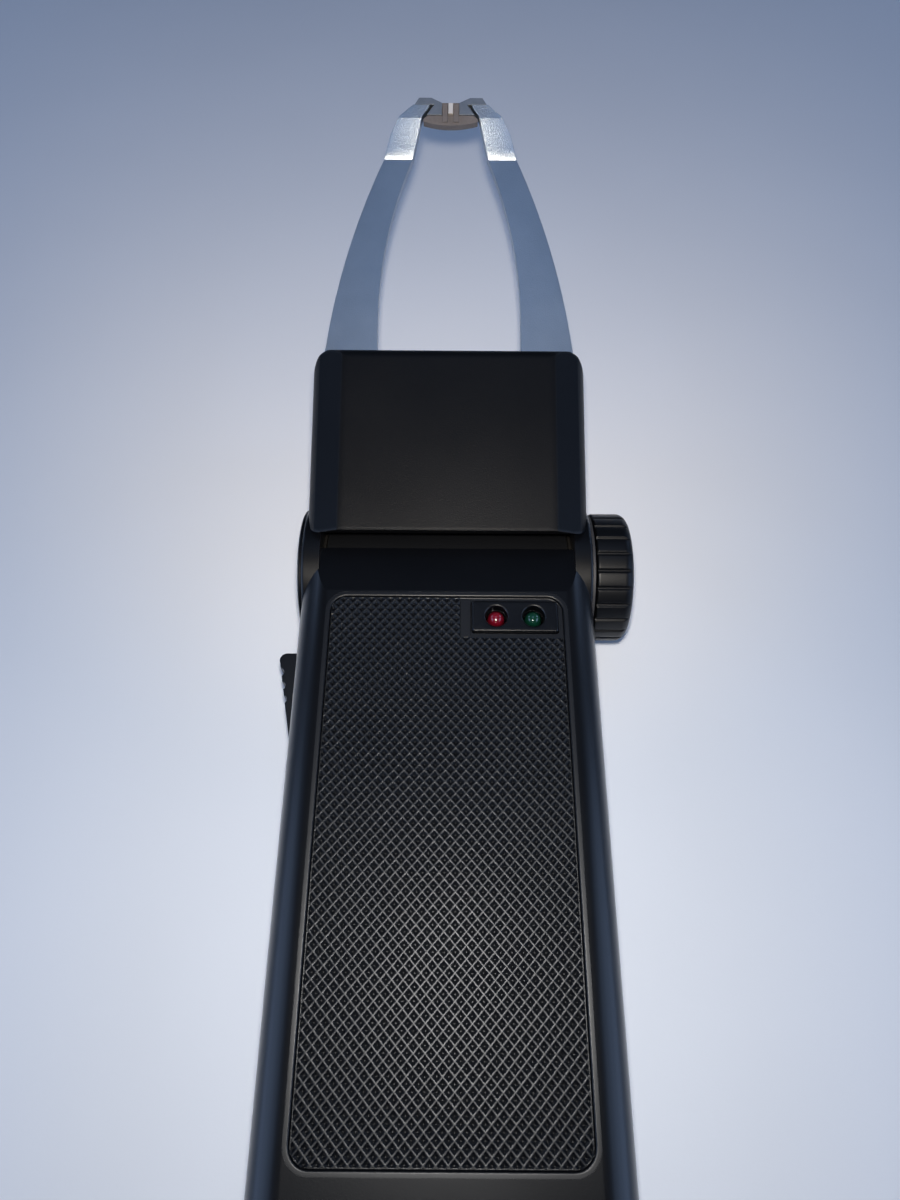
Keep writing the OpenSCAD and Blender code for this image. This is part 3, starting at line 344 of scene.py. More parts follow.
def lens(name, colour):
    """Tinted lamp lens with painted shade that darkens the dome towards its foot, and a clear gloss."""
    finish = Finish(name, roughness=0.12, coat=1.0, coat_roughness=0.04, ior=1.5, specular=0.6)
    spot = finish.place()
    cloud = finish.noise(spot, 0.9 * MM, 2.0)
    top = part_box("red_lamp")[1].z
    shade_fade = 1.5 * MM
    # Painted shade: the lens gets darker with depth below its top
    sunk = ((top - spot.part("Z")) * (1 / shade_fade)).clamped()
    body = finish.mix(sunk, lighter(colour, 1.2), lighter(colour, 0.3))
    finish.put("Base Color", finish.mix(cloud * 0.3, body, lighter(colour, 0.6)))
    return finish.material


def red_lens(name):
    return lens(name, colours().red)


def green_lens(name):
    return lens(name, colours().green)


def metal(name, colour, rough, stretch=(1, 1, 1), line=0.12 * MM, depth=0.004 * MM, spread=0.18,
          cloud_size=5 * MM, shine=1.0):
    """Bare or plated metal with fine drawn lines, clouds and rolled edges."""
    finish = Finish(name, metallic=shine)
    lines = finish.noise(finish.place(stretch), line, 3.0, 0.65)
    cloud = finish.noise(finish.place(), cloud_size, 3.0, 0.55)
    soft = finish.soft_edge(0.12 * MM)
    finish.put("Base Color", finish.mix(cloud, lighter(colour, 0.82), lighter(colour, 1.12)))
    finish.put("Roughness", rough - spread / 2 + lines * spread * 0.6 + cloud * spread * 0.4)
    finish.put("Normal", finish.bump(lines, depth, soft))
    return finish.material


def satin_steel(name):
    """Plated arm strip: speckle over faint rolling lines along its length, crowned past the crease."""
    colour = colours().steel
    finish = Finish(name, metallic=1.0)
    spot = finish.place()
    across = spot.part("X")
    past = spot.part("Y") - CREASE_Y
    share = ((abs(across) - (CREASE_INNER - past * CREASE_TAPER)) * (1 / CREASE_WIDTH)).clamped()
    outwards = (across > 0.0) * 2 - 1
    bent = (past * (1 / MM)).clamped()
    lean = bent * (LEAN_INNER + share * LEAN_ACROSS) * outwards
    tilt = finish.node("ShaderNodeCombineXYZ", {}, [lean, 0.0, 0.0])
    lines = finish.noise(finish.place((1, 0.08, 1)), 0.16 * MM, 2.0, 0.6)
    speck = finish.noise(finish.place(), 0.22 * MM, 2.0, 0.7)
    cloud = finish.noise(finish.place(), 7 * MM, 3.0, 0.55)
    soft = finish.node("ShaderNodeVectorMath", {"operation": "ADD"}, [finish.soft_edge(0.15 * MM), tilt])
    soft = finish.node("ShaderNodeVectorMath", {"operation": "NORMALIZE"}, [soft])
    finish.put("Base Color", finish.mix(cloud, lighter(colour, 0.85), lighter(colour, 1.1)))
    finish.put("Roughness", 0.26 + speck * 0.14 + cloud * 0.06)
    relief = finish.bump(lines, 0.01 * MM, soft)
    finish.put("Normal", finish.bump(speck * (0.35 + bent * 0.65), 0.12 * MM, relief))
    return finish.material


def zinc_steel(name):
    return metal(name, (0.58, 0.59, 0.6), 0.34)


def brass(name):
    return metal(name, (0.75, 0.55, 0.24), 0.32)


def soft_iron(name):
    return metal(name, (0.24, 0.27, 0.31), 0.45, line=0.2 * MM, depth=0.012 * MM,
                 cloud_size=1.2 * MM, shine=0.85)


def bright_shim(name):
    return metal(name, (0.72, 0.67, 0.62), 0.3, stretch=(1, 0.1, 1), shine=0.4)


def grainy(name, dark, light, rough, lump=0.5 * MM, depth=0.02 * MM, coat=0.0, gloss=0.5):
    """Plain solid with grain: resin, fibre, ferrite, board or sleeve."""
    finish = Finish(name, coat=coat, specular=gloss)
    grain = finish.noise(finish.place(), lump, 3.0, 0.6)
    cloud = finish.noise(finish.place(), 12 * lump, 2.0)
    soft = finish.soft_edge(0.12 * MM)
    finish.put("Base Color", finish.mix((grain * 0.6 + cloud * 0.5).clamped(), dark, light))
    finish.put("Roughness", rough - 0.08 + grain * 0.16)
    finish.put("Normal", finish.bump(grain, depth, soft))
    return finish.material


def brown_resin(name):
    colour = colours().resin
    return grainy(name, lighter(colour, 0.55), lighter(colour, 1.5), 0.55, 0.45 * MM, 0.03 * MM)


def board(name):
    return grainy(name, (0.16, 0.1, 0.035), (0.3, 0.2, 0.08), 0.5, 0.6 * MM, 0.01 * MM, 0.3)


def can_sleeve(name):
    return grainy(name, (0.01, 0.018, 0.06), (0.02, 0.035, 0.1), 0.3, 1 * MM, 0.004 * MM, 0.5)


def ferrite(name):
    return grainy(name, (0.03, 0.028, 0.027), (0.075, 0.07, 0.066), 0.6, 0.2 * MM, 0.02 * MM)


def black_epoxy(name):
    return grainy(name, (0.012, 0.012, 0.013), (0.03, 0.03, 0.032), 0.55, 0.2 * MM, 0.015 * MM)


def red_plastic(name):
    return grainy(name, (0.42, 0.05, 0.03), (0.55, 0.08, 0.05), 0.4, 0.4 * MM, 0.006 * MM)


def brown_fibre(name):
    return grainy(name, (0.005, 0.005, 0.005), (0.012, 0.011, 0.01), 0.8, 0.25 * MM, 0.03 * MM,
                  gloss=0.06)


def bobbin_plastic(name):
    return grainy(name, (0.55, 0.48, 0.34), (0.68, 0.61, 0.45), 0.45, 0.6 * MM, 0.006 * MM)


def cell_sleeve(name):
    """Printed cell sleeve: a plain band at the nub end, dark for the rest."""
    finish = Finish(name, coat=0.4, coat_roughness=0.2)
    low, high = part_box("battery_cells")
    grain = finish.noise(finish.place(), 2 * MM, 2.0)
    band_share = 0.3
    band = finish.place().part("Y") > high.y - band_share * (high.y - low.y)
    dark = finish.mix(grain, (0.018, 0.05, 0.03), (0.03, 0.075, 0.045))
    finish.put("Base Color", finish.mix(band, dark, (0.5, 0.42, 0.24)))
    finish.put("Roughness", 0.26 + grain * 0.1)
    return finish.material


def enamelled_copper(name):
    """Wound wire: turns as fine ribs across the bobbin."""
    finish = Finish(name, metallic=0.9, coat=0.6)
    pitch = 0.35 * MM
    wave = (finish.place().part("X") * (TURN / pitch)).sine()
    cloud = finish.noise(finish.place(), 2 * MM, 3.0)
    finish.put("Base Color", finish.mix(cloud, (0.3, 0.09, 0.03), (0.5, 0.17, 0.06)))
    finish.put("Roughness", 0.28 + cloud * 0.15)
    finish.put("Normal", finish.bump(wave, 0.08 * MM))
    return finish.material


FINISHES = {maker.__name__: maker for maker in (
    black_plastic, head_plastic, grip_plastic, knob_plastic, red_lens, green_lens, board, zinc_steel,
    can_sleeve, ferrite, black_epoxy, red_plastic, cell_sleeve, brown_fibre, brass, soft_iron,
    bobbin_plastic, enamelled_copper, satin_steel, brown_resin, bright_shim)}


def finish_for(slot):
    """The material of a slot, made the first time it is asked for."""
    name = slot + "_finish"
    return bpy.data.materials.get(name) or FINISHES[slot](name)


# Building blocks

def dress(*names, finish=None):
    """Gives solids that stay on show the finish of their slot, or the one that is named."""
    for name in names:
        solid = NODES[name]
        solid["demag_slot"] = slot = slot_of(name)
        for place in solid.material_slots:
            place.material = finish_for(finish or slot)


def slot_of(node):
    solid = NODES[node]
    return solid.get("demag_slot") or solid.material_slots[0].material.name


def body_of(node):
    return NODES[node]["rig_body"]


def piece(name, bm, nodes=(), body=None, slot=None, smooth=math.radians(40)):
    """Turns a finished mesh into a piece that rides with its body and stands for its solids."""
    nodes = [nodes] if isinstance(nodes, str) else list(nodes)
    bmesh.ops.recalc_face_normals(bm, faces=bm.faces)
    mesh = bpy.data.meshes.new(name)
    for face in bm.faces:
        face.smooth = True
    for edge in bm.edges:
        edge.smooth = len(edge.link_faces) == 2 and edge.calc_face_angle(0.0) < smooth
    bm.to_mesh(mesh)
    bm.free()
    mesh.normals_split_custom_set(flat_led_normals(mesh, smooth))
    made = bpy.data.objects.new(name, mesh)
    bpy.context.scene.collection.objects.link(made)
    slot = slot or slot_of(nodes[0])
    mesh.materials.append(finish_for(slot))
    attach(made, body or body_of(nodes[0]))
    if nodes:
        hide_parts(*nodes)
    return made


def flat_led_normals(mesh, smooth):
    """Corner normals in which large faces outweigh the narrow ones that round their edges."""
    faces_at = {}
    for face in mesh.polygons:
        for vert in face.vertices:
            faces_at.setdefault(vert, []).append((face.normal.copy(), face.area))
    least = math.cos(smooth)
    normals = []
    for face in mesh.polygons:
        for vert in face.vertices:
            total = Vector()
            for normal, area in faces_at[vert]:
                if normal.dot(face.normal) > least:
                    total += normal * area
            normals.append(total.normalized())
    return normals


def solid_mesh(node, matrix=ROW):
    """A welded copy of a solid's mesh, seen from the frame that matrix places."""
    bm = bmesh.new()
    bm.from_mesh(NODES[node].data)
    bmesh.ops.remove_doubles(bm, verts=bm.verts, dist=0.001 * MM)
    bm.transform(matrix.inverted())
    return bm


def solid_boxes(node, matrix=ROW):
    """Lowest and highest corner of each separate solid of a node."""
    bm = solid_mesh(node, matrix)
    left, boxes = set(bm.verts), []
    while left:
        group, reach = [], [left.pop()]
        while reach:
            vert = reach.pop()
            group.append(vert.co.copy())
            for edge in vert.link_edges:
                other = edge.other_vert(vert)
                if other in left:
                    left.remove(other)
                    reach.append(other)
        boxes.append((Vector(map(min, *group)), Vector(map(max, *group))))
    bm.free()
    return sorted(boxes, key=lambda box: tuple(box[0]))


def softened(node, radius, segments=2, limit=28):
    """A solid's mesh with every edge sharper than limit degrees rounded."""
    bm = solid_mesh(node)
    bmesh.ops.dissolve_limit(bm, angle_limit=math.radians(0.5), verts=bm.verts, edges=bm.edges)
    sharp = [edge for edge in bm.edges if edge.calc_face_angle(0.0) > math.radians(limit)]
    bmesh.ops.bevel(bm, geom=sharp, offset=radius, segments=segments, profile=0.5,
                    affect="EDGES", clamp_overlap=True)
    return bm


def ring(bm, points, matrix=ROW):
    return [bm.verts.new(matrix @ Vector(point)) for point in points]


def join_rings(bm, first, second):
    count = len(first)
    for i in range(count):
        j = (i + 1) % count
        bm.faces.new((first[i], first[j], second[j], second[i]))


def fill(bm, loops):
    """Flat face between an outer loop of points and the loops inside it."""
    if len(loops) == 1:
        bm.faces.new(loops[0])
        return
    edges = []
    for loop in loops:
        for i, vert in enumerate(loop):
            edges.append(bm.edges.get((vert, loop[i - 1])) or bm.edges.new((vert, loop[i - 1])))
    bmesh.ops.triangle_fill(bm, use_beauty=True, use_dissolve=False, edges=edges)


def inset(outline, depth):
    """Outline moved inwards by depth, with mitred corners; it runs counter-clockwise."""
    moved = []
    count = len(outline)
    for i, point in enumerate(outline):
        here = Vector(point)
        back = (here - Vector(outline[i - 1])).normalized()
        ahead = (Vector(outline[(i + 1) % count]) - here).normalized()
        first = Vector((-back.y, back.x))
        second = Vector((-ahead.y, ahead.x))
        moved.append(here + (first + second) * depth / max(0.4, 1 + first.dot(second)))
    return moved


def plate(bm, outlines, low, high, rim, matrix=ROW, steps=3):
    """Flat plate with rounded rims: the first outline is its edge, the others are holes."""
    turns = [math.pi / 2 * i / steps for i in range(steps + 1)]
    levels = [(low + rim * (1 - math.sin(t)), rim * (1 - math.cos(t))) for t in reversed(turns)]
    levels += [(high - rim * (1 - math.sin(t)), rim * (1 - math.cos(t))) for t in turns]
    bottoms, tops = [], []
    for number, outline in enumerate(outlines):
        rings = []
        for level, depth in levels:
            points = inset(outline, depth if number == 0 else -depth)
            rings.append(ring(bm, [(p[0], p[1], level) for p in points], matrix))
        for first, second in zip(rings, rings[1:]):
            join_rings(bm, first, second)
        bottoms.append(rings[0])
        tops.append(rings[-1])
    fill(bm, bottoms)
    fill(bm, tops)


def turned(bm, profile, matrix=ROW, steps=48):
    """Turned shape round Z from (radius, height) points; a radius of 0 closes an end."""
    rings = []
    for radius, height in profile:
        points = circle((0, 0), radius, steps) if radius else [(0, 0)]
        rings.append(ring(bm, [(x, y, height) for x, y in points], matrix))
    for first, second in zip(rings, rings[1:]):
        if len(first) == 1 or len(second) == 1:
            point, loop = (first[0], second) if len(first) == 1 else (second[0], first)
            for i, vert in enumerate(loop):
                bm.faces.new((vert, loop[i - 1], point))
        else:
            join_rings(bm, first, second)
    return rings


def arc(centre, radius, start, end, steps):
    """Points of an arc in a half section, angles in degrees."""
    return [(centre[0] + radius * math.cos(math.radians(start + (end - start) * i / steps)),
             centre[1] + radius * math.sin(math.radians(start + (end - start) * i / steps)))
            for i in range(steps + 1)]


def rounded(width, length, radius, steps=8):
    """Counter-clockwise rounded rectangle about the origin."""
    corners = ((1, 1, 0), (-1, 1, 90), (-1, -1, 180), (1, -1, 270))
    return [point for sx, sy, start in corners for point in arc(
        (sx * (width / 2 - radius), sy * (length / 2 - radius)), radius, start, start + 90, steps)]


def circle(centre, radius, steps=40):
    return [(centre[0] + radius * math.cos(TURN * i / steps),
             centre[1] + radius * math.sin(TURN * i / steps)) for i in range(steps)]


def shifted(outline, dx, dy):
    return [(x + dx, y + dy) for x, y in outline]


def end_outlines(node, matrix=ROW):
    """Counter-clockwise outlines of a solid's top face in the frame of matrix, the outer one first."""
    bm = solid_mesh(node, matrix)
    top = max(vert.co.z for vert in bm.verts)
    faces = [f for f in bm.faces if all(abs(v.co.z - top) < 0.002 * MM for v in f.verts)]
    inside = set(faces)
    links = {}
    for face in faces:
        for loop in face.loops:
            if not any(f in inside and f is not face for f in loop.edge.link_faces):
                links[loop.vert] = loop.link_loop_next.vert
    outlines = []
    while links:
        start, here = links.popitem()
        points = [start.co.copy()]
        while here is not start:
            points.append(here.co.copy())
            here = links.pop(here)
        outlines.append([(p.x, p.y) for p in points])
    bm.free()
    tidy = []
    for outline in outlines:
        area = sum(a[0] * b[1] - b[0] * a[1] for a, b in zip(outline, outline[1:] + outline[:1]))
        tidy.append((abs(area), outline if area > 0 else outline[::-1]))
    return [outline for area, outline in sorted(tidy, key=lambda item: -item[0])]


def along(start, direction):
    """Frame whose Z axis runs along direction from start."""
    return Matrix.Translation(start) @ Vector(direction).to_track_quat("Z", "Y").to_matrix().to_4x4()


def helix(bm, matrix, radius, wire, length, turns, steps=28, sides=10):
    """Round wire coiled along Z, its ends closed."""
    rings = []
    for i in range(int(turns * steps) + 1):
        share = i / (turns * steps)
        angle = TURN * i / steps
        out = Vector((math.cos(angle), math.sin(angle), 0))
        middle = out * radius + Vector((0, 0, wire / 2 + (length - wire) * share))
        rings.append(ring(bm, [
            middle + out * (wire / 2 * math.cos(TURN * k / sides))
            + Vector((0, 0, wire / 2 * math.sin(TURN * k / sides))) for k in range(sides)], matrix))
    for first, second in zip(rings, rings[1:]):
        join_rings(bm, first, second)
    bm.faces.new(rings[0])
    bm.faces.new(rings[-1])


def screw(bm, matrix, shank, head, head_height, length):
    """Pan head screw: shank up Z, head below with a cross recess, thread as fine rings."""
    pitch = 0.2 * shank
    point, root = 0.3 * shank, 0.39 * shank
    threaded, lead_in = 0.8 * length, 0.1 * length
    rim = 0.35 * head_height
    half_slot, reach = 0.09 * head, 0.3 * head
    floor_share, floor_level = 0.7, -0.25 * head_height
    profile = [(point, length)]
    for i in range(int(threaded / pitch)):
        top = length - lead_in - i * pitch
        profile += [(root, top), (shank / 2, top - pitch / 2)]
    profile += [(shank / 2, 0), (head / 2, 0), (head / 2, -head_height + rim)]
    profile += [(head / 2 - rim + rim * math.cos(t), -head_height + rim - rim * math.sin(t))
                for t in (math.pi / 8, math.pi / 4, 3 * math.pi / 8, math.pi / 2)]
    rings = turned(bm, profile, matrix, 36)
    bm.faces.new(rings[0])
    quarter = [(reach, -half_slot), (reach, half_slot), (half_slot, half_slot)]
    cross = [p for k in range(4) for p in [
        (x * math.cos(TURN * k / 4) - y * math.sin(TURN * k / 4),
         x * math.sin(TURN * k / 4) + y * math.cos(TURN * k / 4)) for x, y in quarter]]
    mouth = ring(bm, [(x, y, -head_height) for x, y in cross], matrix)
    floor = ring(bm, [(x * floor_share, y * floor_share, floor_level) for x, y in cross], matrix)
    fill(bm, [rings[-1], mouth])
    join_rings(bm, mouth, floor)
    bm.faces.new(floor)


# Pieces

class DEMAG_OT_shells(bpy.types.Operator):
    """Finish of the moulded shells, the battery door and the fixed hinge parts"""

    bl_idname = "demag.shells"
    bl_label = "Shells"

    def execute(self, context):
        dress("handle_top_shell", "handle_bottom_shell", "battery_door", "hinge_bolt",
              "friction_washers", "knob_insert")
        dress("spring_washer", finish="black_epoxy")
        dress("head_top_shell", "head_bottom_shell", finish="head_plastic")
        return {"FINISHED"}


class DEMAG_OT_grip(bpy.types.Operator):
    """Inlaid panel with its border bead, and the diamond grip that stands on it"""

    bl_idname = "demag.grip"
    bl_label = "Grip panel"

    def execute(self, context):
        low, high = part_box("grip_panel")
        pad_low, pad_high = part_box("lamp_bezel")
        size = high - low
        middle = (low + high) / 2
        rim = sizes().rim
        floor = high.z - 0.5 * MM
        fillet = 0.2 * MM
        roll = 0.28 * MM
        top = high.z
        radius = 3.2 * MM
        gap = 0.1 * MM
        overlap = 0.02 * MM
        ledge = low.z + 0.3 * MM
        place = Matrix.Translation((middle.x, middle.y, 0))
        levels = [(0, low.z), (0, ledge), (-gap, ledge), (-gap, top), (rim, top)]
        quarter = [math.pi / 2 * k / 4 for k in range(1, 5)]
        levels += [(rim + roll * math.sin(t), top - roll * (1 - math.cos(t))) for t in quarter]
        levels += [(rim + roll + fillet * (1 - math.cos(t)), floor + fillet * (1 - math.sin(t)))
                   for t in quarter]
        bm = bmesh.new()
        rings = [ring(bm, [(x, y, level) for x, y in rounded(
            size.x - 2 * depth, size.y - 2 * depth, radius - depth)], place)
            for depth, level in levels]
        for first, second in zip(rings, rings[1:]):
            join_rings(bm, first, second)
        hole = rounded(pad_high.x - pad_low.x + 2 * gap, pad_high.y - pad_low.y + 2 * gap, 0.4 * MM, 3)
        hole = shifted(hole, (pad_low.x + pad_high.x) / 2, (pad_low.y + pad_high.y) / 2)
        foot = ring(bm, [(x, y, low.z) for x, y in hole])
        mouth = ring(bm, [(x, y, floor) for x, y in hole])
        join_rings(bm, foot, mouth)
        fill(bm, [rings[0], foot])
        fill(bm, [rings[-1], mouth])
        edge = rim + roll + fillet + 0.05 * MM
        field = (low.x + edge, low.y + edge, high.x - edge, high.y - edge)
        notch = (pad_low.x - 1.9 * MM, pad_low.y - 0.9 * MM)
        margin = (pad_low.x - 2 * gap - notch[0], field[3] - notch[1])
        outline = shifted(rounded(*margin, 0.3 * MM, 3),
                          notch[0] + margin[0] / 2, notch[1] + margin[1] / 2)
        sunk = 0.3 * MM
        plate(bm, [outline], floor - overlap, top - sunk, 0.1 * MM)
        piece("grip_panel_frame", bm, "grip_panel")
        piece("grip_diamonds", self.diamonds(field, notch, floor, top - 0.05 * MM),
              body="handle", slot="grip_plastic", smooth=math.radians(45))
        return {"FINISHED"}

    def diamonds(self, field, notch, floor, top):
        """Crossing ridges round square pits inside field, cut away beyond the notch corner."""
        across, lengthwise = sizes().grip_across, sizes().grip_along
        ridge = sizes().grip_ridge
        pit_floor = 0.44
        rings = ((0.0, top), (ridge / 3, top - 0.003 * MM), (ridge * 2 / 3, top - 0.012 * MM),
                 (ridge, top - 0.035 * MM), (pit_floor, top - sizes().grip_depth))
        bm = bmesh.new()
        shared = {}

        def point(u, v, level):
            key = (round(u, 3), round(v, 3), level)
            if key not in shared:
                shared[key] = bm.verts.new((
                    (u + v) / 2 * across, middle_y + (u - v) / 2 * lengthwise, level))
            return shared[key]

        x0, y0, x1, y1 = field
        middle_y = (y0 + y1) / 2
        reach = int(max(abs(x0), abs(x1)) / across + (y1 - y0) / 2 / lengthwise) + 2
        for i in range(-reach, reach):
            for j in range(-reach, reach):
                x = (i + j + 1) / 2 * across
                y = middle_y + (i - j) / 2 * lengthwise
                if not (x0 - across < x < x1 + across and y0 - lengthwise < y < y1 + lengthwise):
                    continue
                loops = [[point(i + a + (1 - 2 * a) * share, j + b + (1 - 2 * b) * share, level)
                          for a, b in ((0, 0), (0, 1), (1, 1), (1, 0))] for share, level in rings]
                for first, second in zip(loops, loops[1:]):
                    join_rings(bm, first, second)
                bm.faces.new(loops[-1])
        corner = 1.4 * MM
        cuts = [((x0, 0, 0), (-1, 0, 0)), ((x1, 0, 0), (1, 0, 0)), ((0, y0, 0), (0, -1, 0)),
                ((0, y1, 0), (0, 1, 0)), ((x0 + corner, y0, 0), (-1, -1, 0)),
                ((x1 - corner, y0, 0), (1, -1, 0)), ((x0 + corner, y1, 0), (-1, 1, 0))]
        for spot, away in cuts:
            bmesh.ops.bisect_plane(bm, geom=bm.verts[:] + bm.edges[:] + bm.faces[:],
                                   plane_co=spot, plane_no=away, clear_outer=True)
        for spot, away in (((notch[0], 0, 0), (1, 0, 0)), ((0, notch[1], 0), (0, 1, 0))):
            near = [face for face in bm.faces if face.calc_center_median().x > notch[0] - 2 * across
                    and face.calc_center_median().y > notch[1] - 2 * lengthwise]
            edges = {edge for face in near for edge in face.edges}
            verts = {vert for face in near for vert in face.verts}
            bmesh.ops.bisect_plane(bm, geom=sorted(verts, key=lambda item: item.index)
                                   + sorted(edges, key=lambda item: item.index) + near,
                                   plane_co=spot, plane_no=away)
            bm.verts.index_update()
            bm.edges.index_update()
        beyond = []
        for face in bm.faces:
            spot = face.calc_center_median()
            if spot.x > notch[0] and spot.y > notch[1]:
                beyond.append(face)
        bmesh.ops.delete(bm, geom=beyond, context="FACES")
        rim = [edge for edge in bm.edges if edge.is_boundary]
        wall = bmesh.ops.extrude_edge_only(bm, edges=rim)["geom"]
        for vert in (item for item in wall if isinstance(item, bmesh.types.BMVert)):
            vert.co.z = floor - 0.04 * MM
        bmesh.ops.holes_fill(bm, edges=[edge for edge in bm.edges if edge.is_boundary], sides=0)
        return bm


class DEMAG_OT_lamps(bpy.types.Operator):
    """Raised lamp pad with two countersunk holes, and the two domed lamps"""

    bl_idname = "demag.lamps"
    bl_label = "Lamps"

    def execute(self, context):
        low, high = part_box("lamp_bezel")
        lamps = {name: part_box(name) for name in ("red_lamp", "green_lamp")}
        centres = {name: ((box[0].x + box[1].x) / 2, (box[0].y + box[1].y) / 2)
                   for name, box in lamps.items()}
        edge = shifted(rounded(high.x - low.x, high.y - low.y, 0.5 * MM, 4),
                       (low.x + high.x) / 2, (low.y + high.y) / 2)
        bm = bmesh.new()
        plate(bm, [edge] + [circle(spot, 1.75 * MM) for spot in centres.values()],
              low.z, high.z, sizes().plastic_edge)
        piece("lamp_pad", bm, "lamp_bezel")
        for name, (foot, top) in lamps.items():
            self.lamp(name, centres[name], foot.z, top.z, (top.x - foot.x) / 2)
        return {"FINISHED"}

    def lamp(self, name, centre, foot, top, flange):
        radius = 1.38 * MM
        height = 5.3 * MM
        base = top - height
        profile = [(0, base), (flange - 0.1 * MM, base), (flange, base + 0.1 * MM),
                   (flange, base + 0.9 * MM), (flange - 0.1 * MM, base + MM), (radius, base + MM)]
        profile += arc((0, top - radius), radius, 0, 84, 12)
        profile += [(0, top)]
        bm = bmesh.new()
        place = Matrix.Translation((centre[0], centre[1], 0))
        turned(bm, profile, place)
        lead, end = 0.25 * MM, base + 0.05 * MM
        for side in (-1, 1):
            turned(bm, [(0, foot), (lead, foot), (lead, end), (0, end)],
                   place @ Matrix.Translation((side * 1.2 * MM, 0, 0)), 12)
        piece(name + "_lens", bm, name)


class DEMAG_OT_hinge(bpy.types.Operator):
    """Ribbed clamp knob and the plain round cap of the hinge"""

    bl_idname = "demag.hinge"
    bl_label = "Hinge"

    def execute(self, context):
        self.knob()
        self.cap()
        return {"FINISHED"}

    def knob(self):
        low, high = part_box("clamp_knob")
        radius = (high.z - low.z) / 2
        height = high.x - low.x
        rim = 1.6 * MM
        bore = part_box("knob_insert")
        bore = (bore[1].z - bore[0].z) / 2
        depth = sizes().knob_groove
        ribs = sizes().knob_ribs
        # Degrees from the middle of a groove, and the share of its depth that is cut there
        shape = ((-2.3, 0.0), (-1.8, 0.12), (-1.35, 0.55), (-0.7, 0.9), (0.0, 1.0), (0.7, 0.9),
                 (1.35, 0.55), (1.8, 0.12), (2.3, 0.0), (5.0, -0.03), (7.5, -0.03), (10.0, -0.03))
        turns = [(math.radians(360 / ribs * (i + 0.5) + angle), cut)
                 for i in range(ribs) for angle, cut in shape]
        profile = [(bore, height - 1.5 * MM), (bore, 0), (radius - 0.5 * MM, 0)]
        profile += arc((radius - 0.4 * MM, 0.4 * MM), 0.4 * MM, -60, 0, 3)
        profile += [(radius, height * 0.35)]
        profile += arc((radius - rim, height - rim), rim, 0, 90, 8)
        profile += [(radius - rim - 0.8 * MM, height), (radius - rim - 1.2 * MM, height - 0.2 * MM),
                    (radius * 0.3, height - 0.25 * MM)]
        bm = bmesh.new()
        place = along((low.x, HINGE.y, HINGE.z), (1, 0, 0))
        rings = []
        for r, h in profile:
            rings.append(ring(bm, [
                (q * math.cos(t), q * math.sin(t), h) for t, cut in turns
                for q in [min(r, radius - depth * cut - 0.02 * MM)]], place))
        for first, second in zip(rings, rings[1:]):
            join_rings(bm, first, second)
        bm.faces.new(rings[0])
        bm.faces.new(rings[-1])
        piece("ribbed_knob", bm, "clamp_knob", smooth=math.radians(50))

    def cap(self):
        low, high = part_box("pivot_cap")
        radius = (high.z - low.z) / 2
        height = high.x - low.x
        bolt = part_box("hinge_bolt")
        recess = (bolt[1].z - bolt[0].z) / 2 + 0.1 * MM
        sunk = high.x - bolt[0].x + 0.1 * MM
        crown = 56 * MM
        rim = 0.25 * MM
        edge = height - crown + math.sqrt(crown ** 2 - radius ** 2)
        profile = [(0, sunk), (recess, sunk), (recess, 0), (radius - 0.1 * MM, 0), (radius, 0.1 * MM)]
        profile += arc((radius - rim, edge - rim), rim, 0, 75, 4)
        profile += [(r, height - crown + math.sqrt(crown ** 2 - r ** 2))
                    for r in ((radius - 0.4 * MM) * (1 - k / 16) for k in range(16))]
        profile += [(0, height)]
        bm = bmesh.new()
        turned(bm, profile, along((high.x, HINGE.y, HINGE.z), (-1, 0, 0)), 96)
        piece("round_cap", bm, "pivot_cap")


class DEMAG_OT_lever(bpy.types.Operator):
    """Press lever with rounded edges, its pin, its return spring and the snap switch"""

    bl_idname = "demag.lever"
    bl_label = "Press lever"

    def execute(self, context):
        low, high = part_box("trigger_lever")
        bm = bmesh.new()
        plate(bm, end_outlines("trigger_lever"), low.z, high.z, 0.2 * MM)
        piece("press_lever", bm, "trigger_lever")
        low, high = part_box("trigger_spring")
        wire = 0.5 * MM
        bm = bmesh.new()
        middle = (low + high) / 2
        helix(bm, along((low.x, middle.y, middle.z), (1, 0, 0)),
              (high.z - low.z - wire) / 2, wire, high.x - low.x, 4)
        spring = piece("return_spring", bm, "trigger_spring")
        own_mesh(spring)
        dress("trigger_pin", "switch_body", "switch_plunger")
        return {"FINISHED"}


class DEMAG_OT_arms(bpy.types.Operator):
    """Bent pole arms with rolled edges"""

    bl_idname = "demag.arms"
    bl_label = "Pole arms"

    def execute(self, context):
        for side in ("left", "right"):
            bm = softened("pole_arm_" + side, sizes().metal_edge, 3, 20)
            piece("bent_arm_" + side, bm, "pole_arm_" + side, smooth=math.radians(30))
        return {"FINISHED"}


class DEMAG_OT_tip(bpy.types.Operator):
    """Brown saddle, dark pole shoes and bright shim at the arm ends"""

    bl_idname = "demag.tip"
    bl_label = "Tip"

    def execute(self, context):
        piece("tip_saddle", softened("tip_holder", 0.12 * MM), "tip_holder")
        for side in ("left", "right"):
            node = "pole_shoe_" + side
            piece("shoe_" + side, softened(node, 0.15 * MM), node)
        piece("shim_strip", softened("gap_shim", 0.12 * MM), "gap_shim")
        return {"FINISHED"}


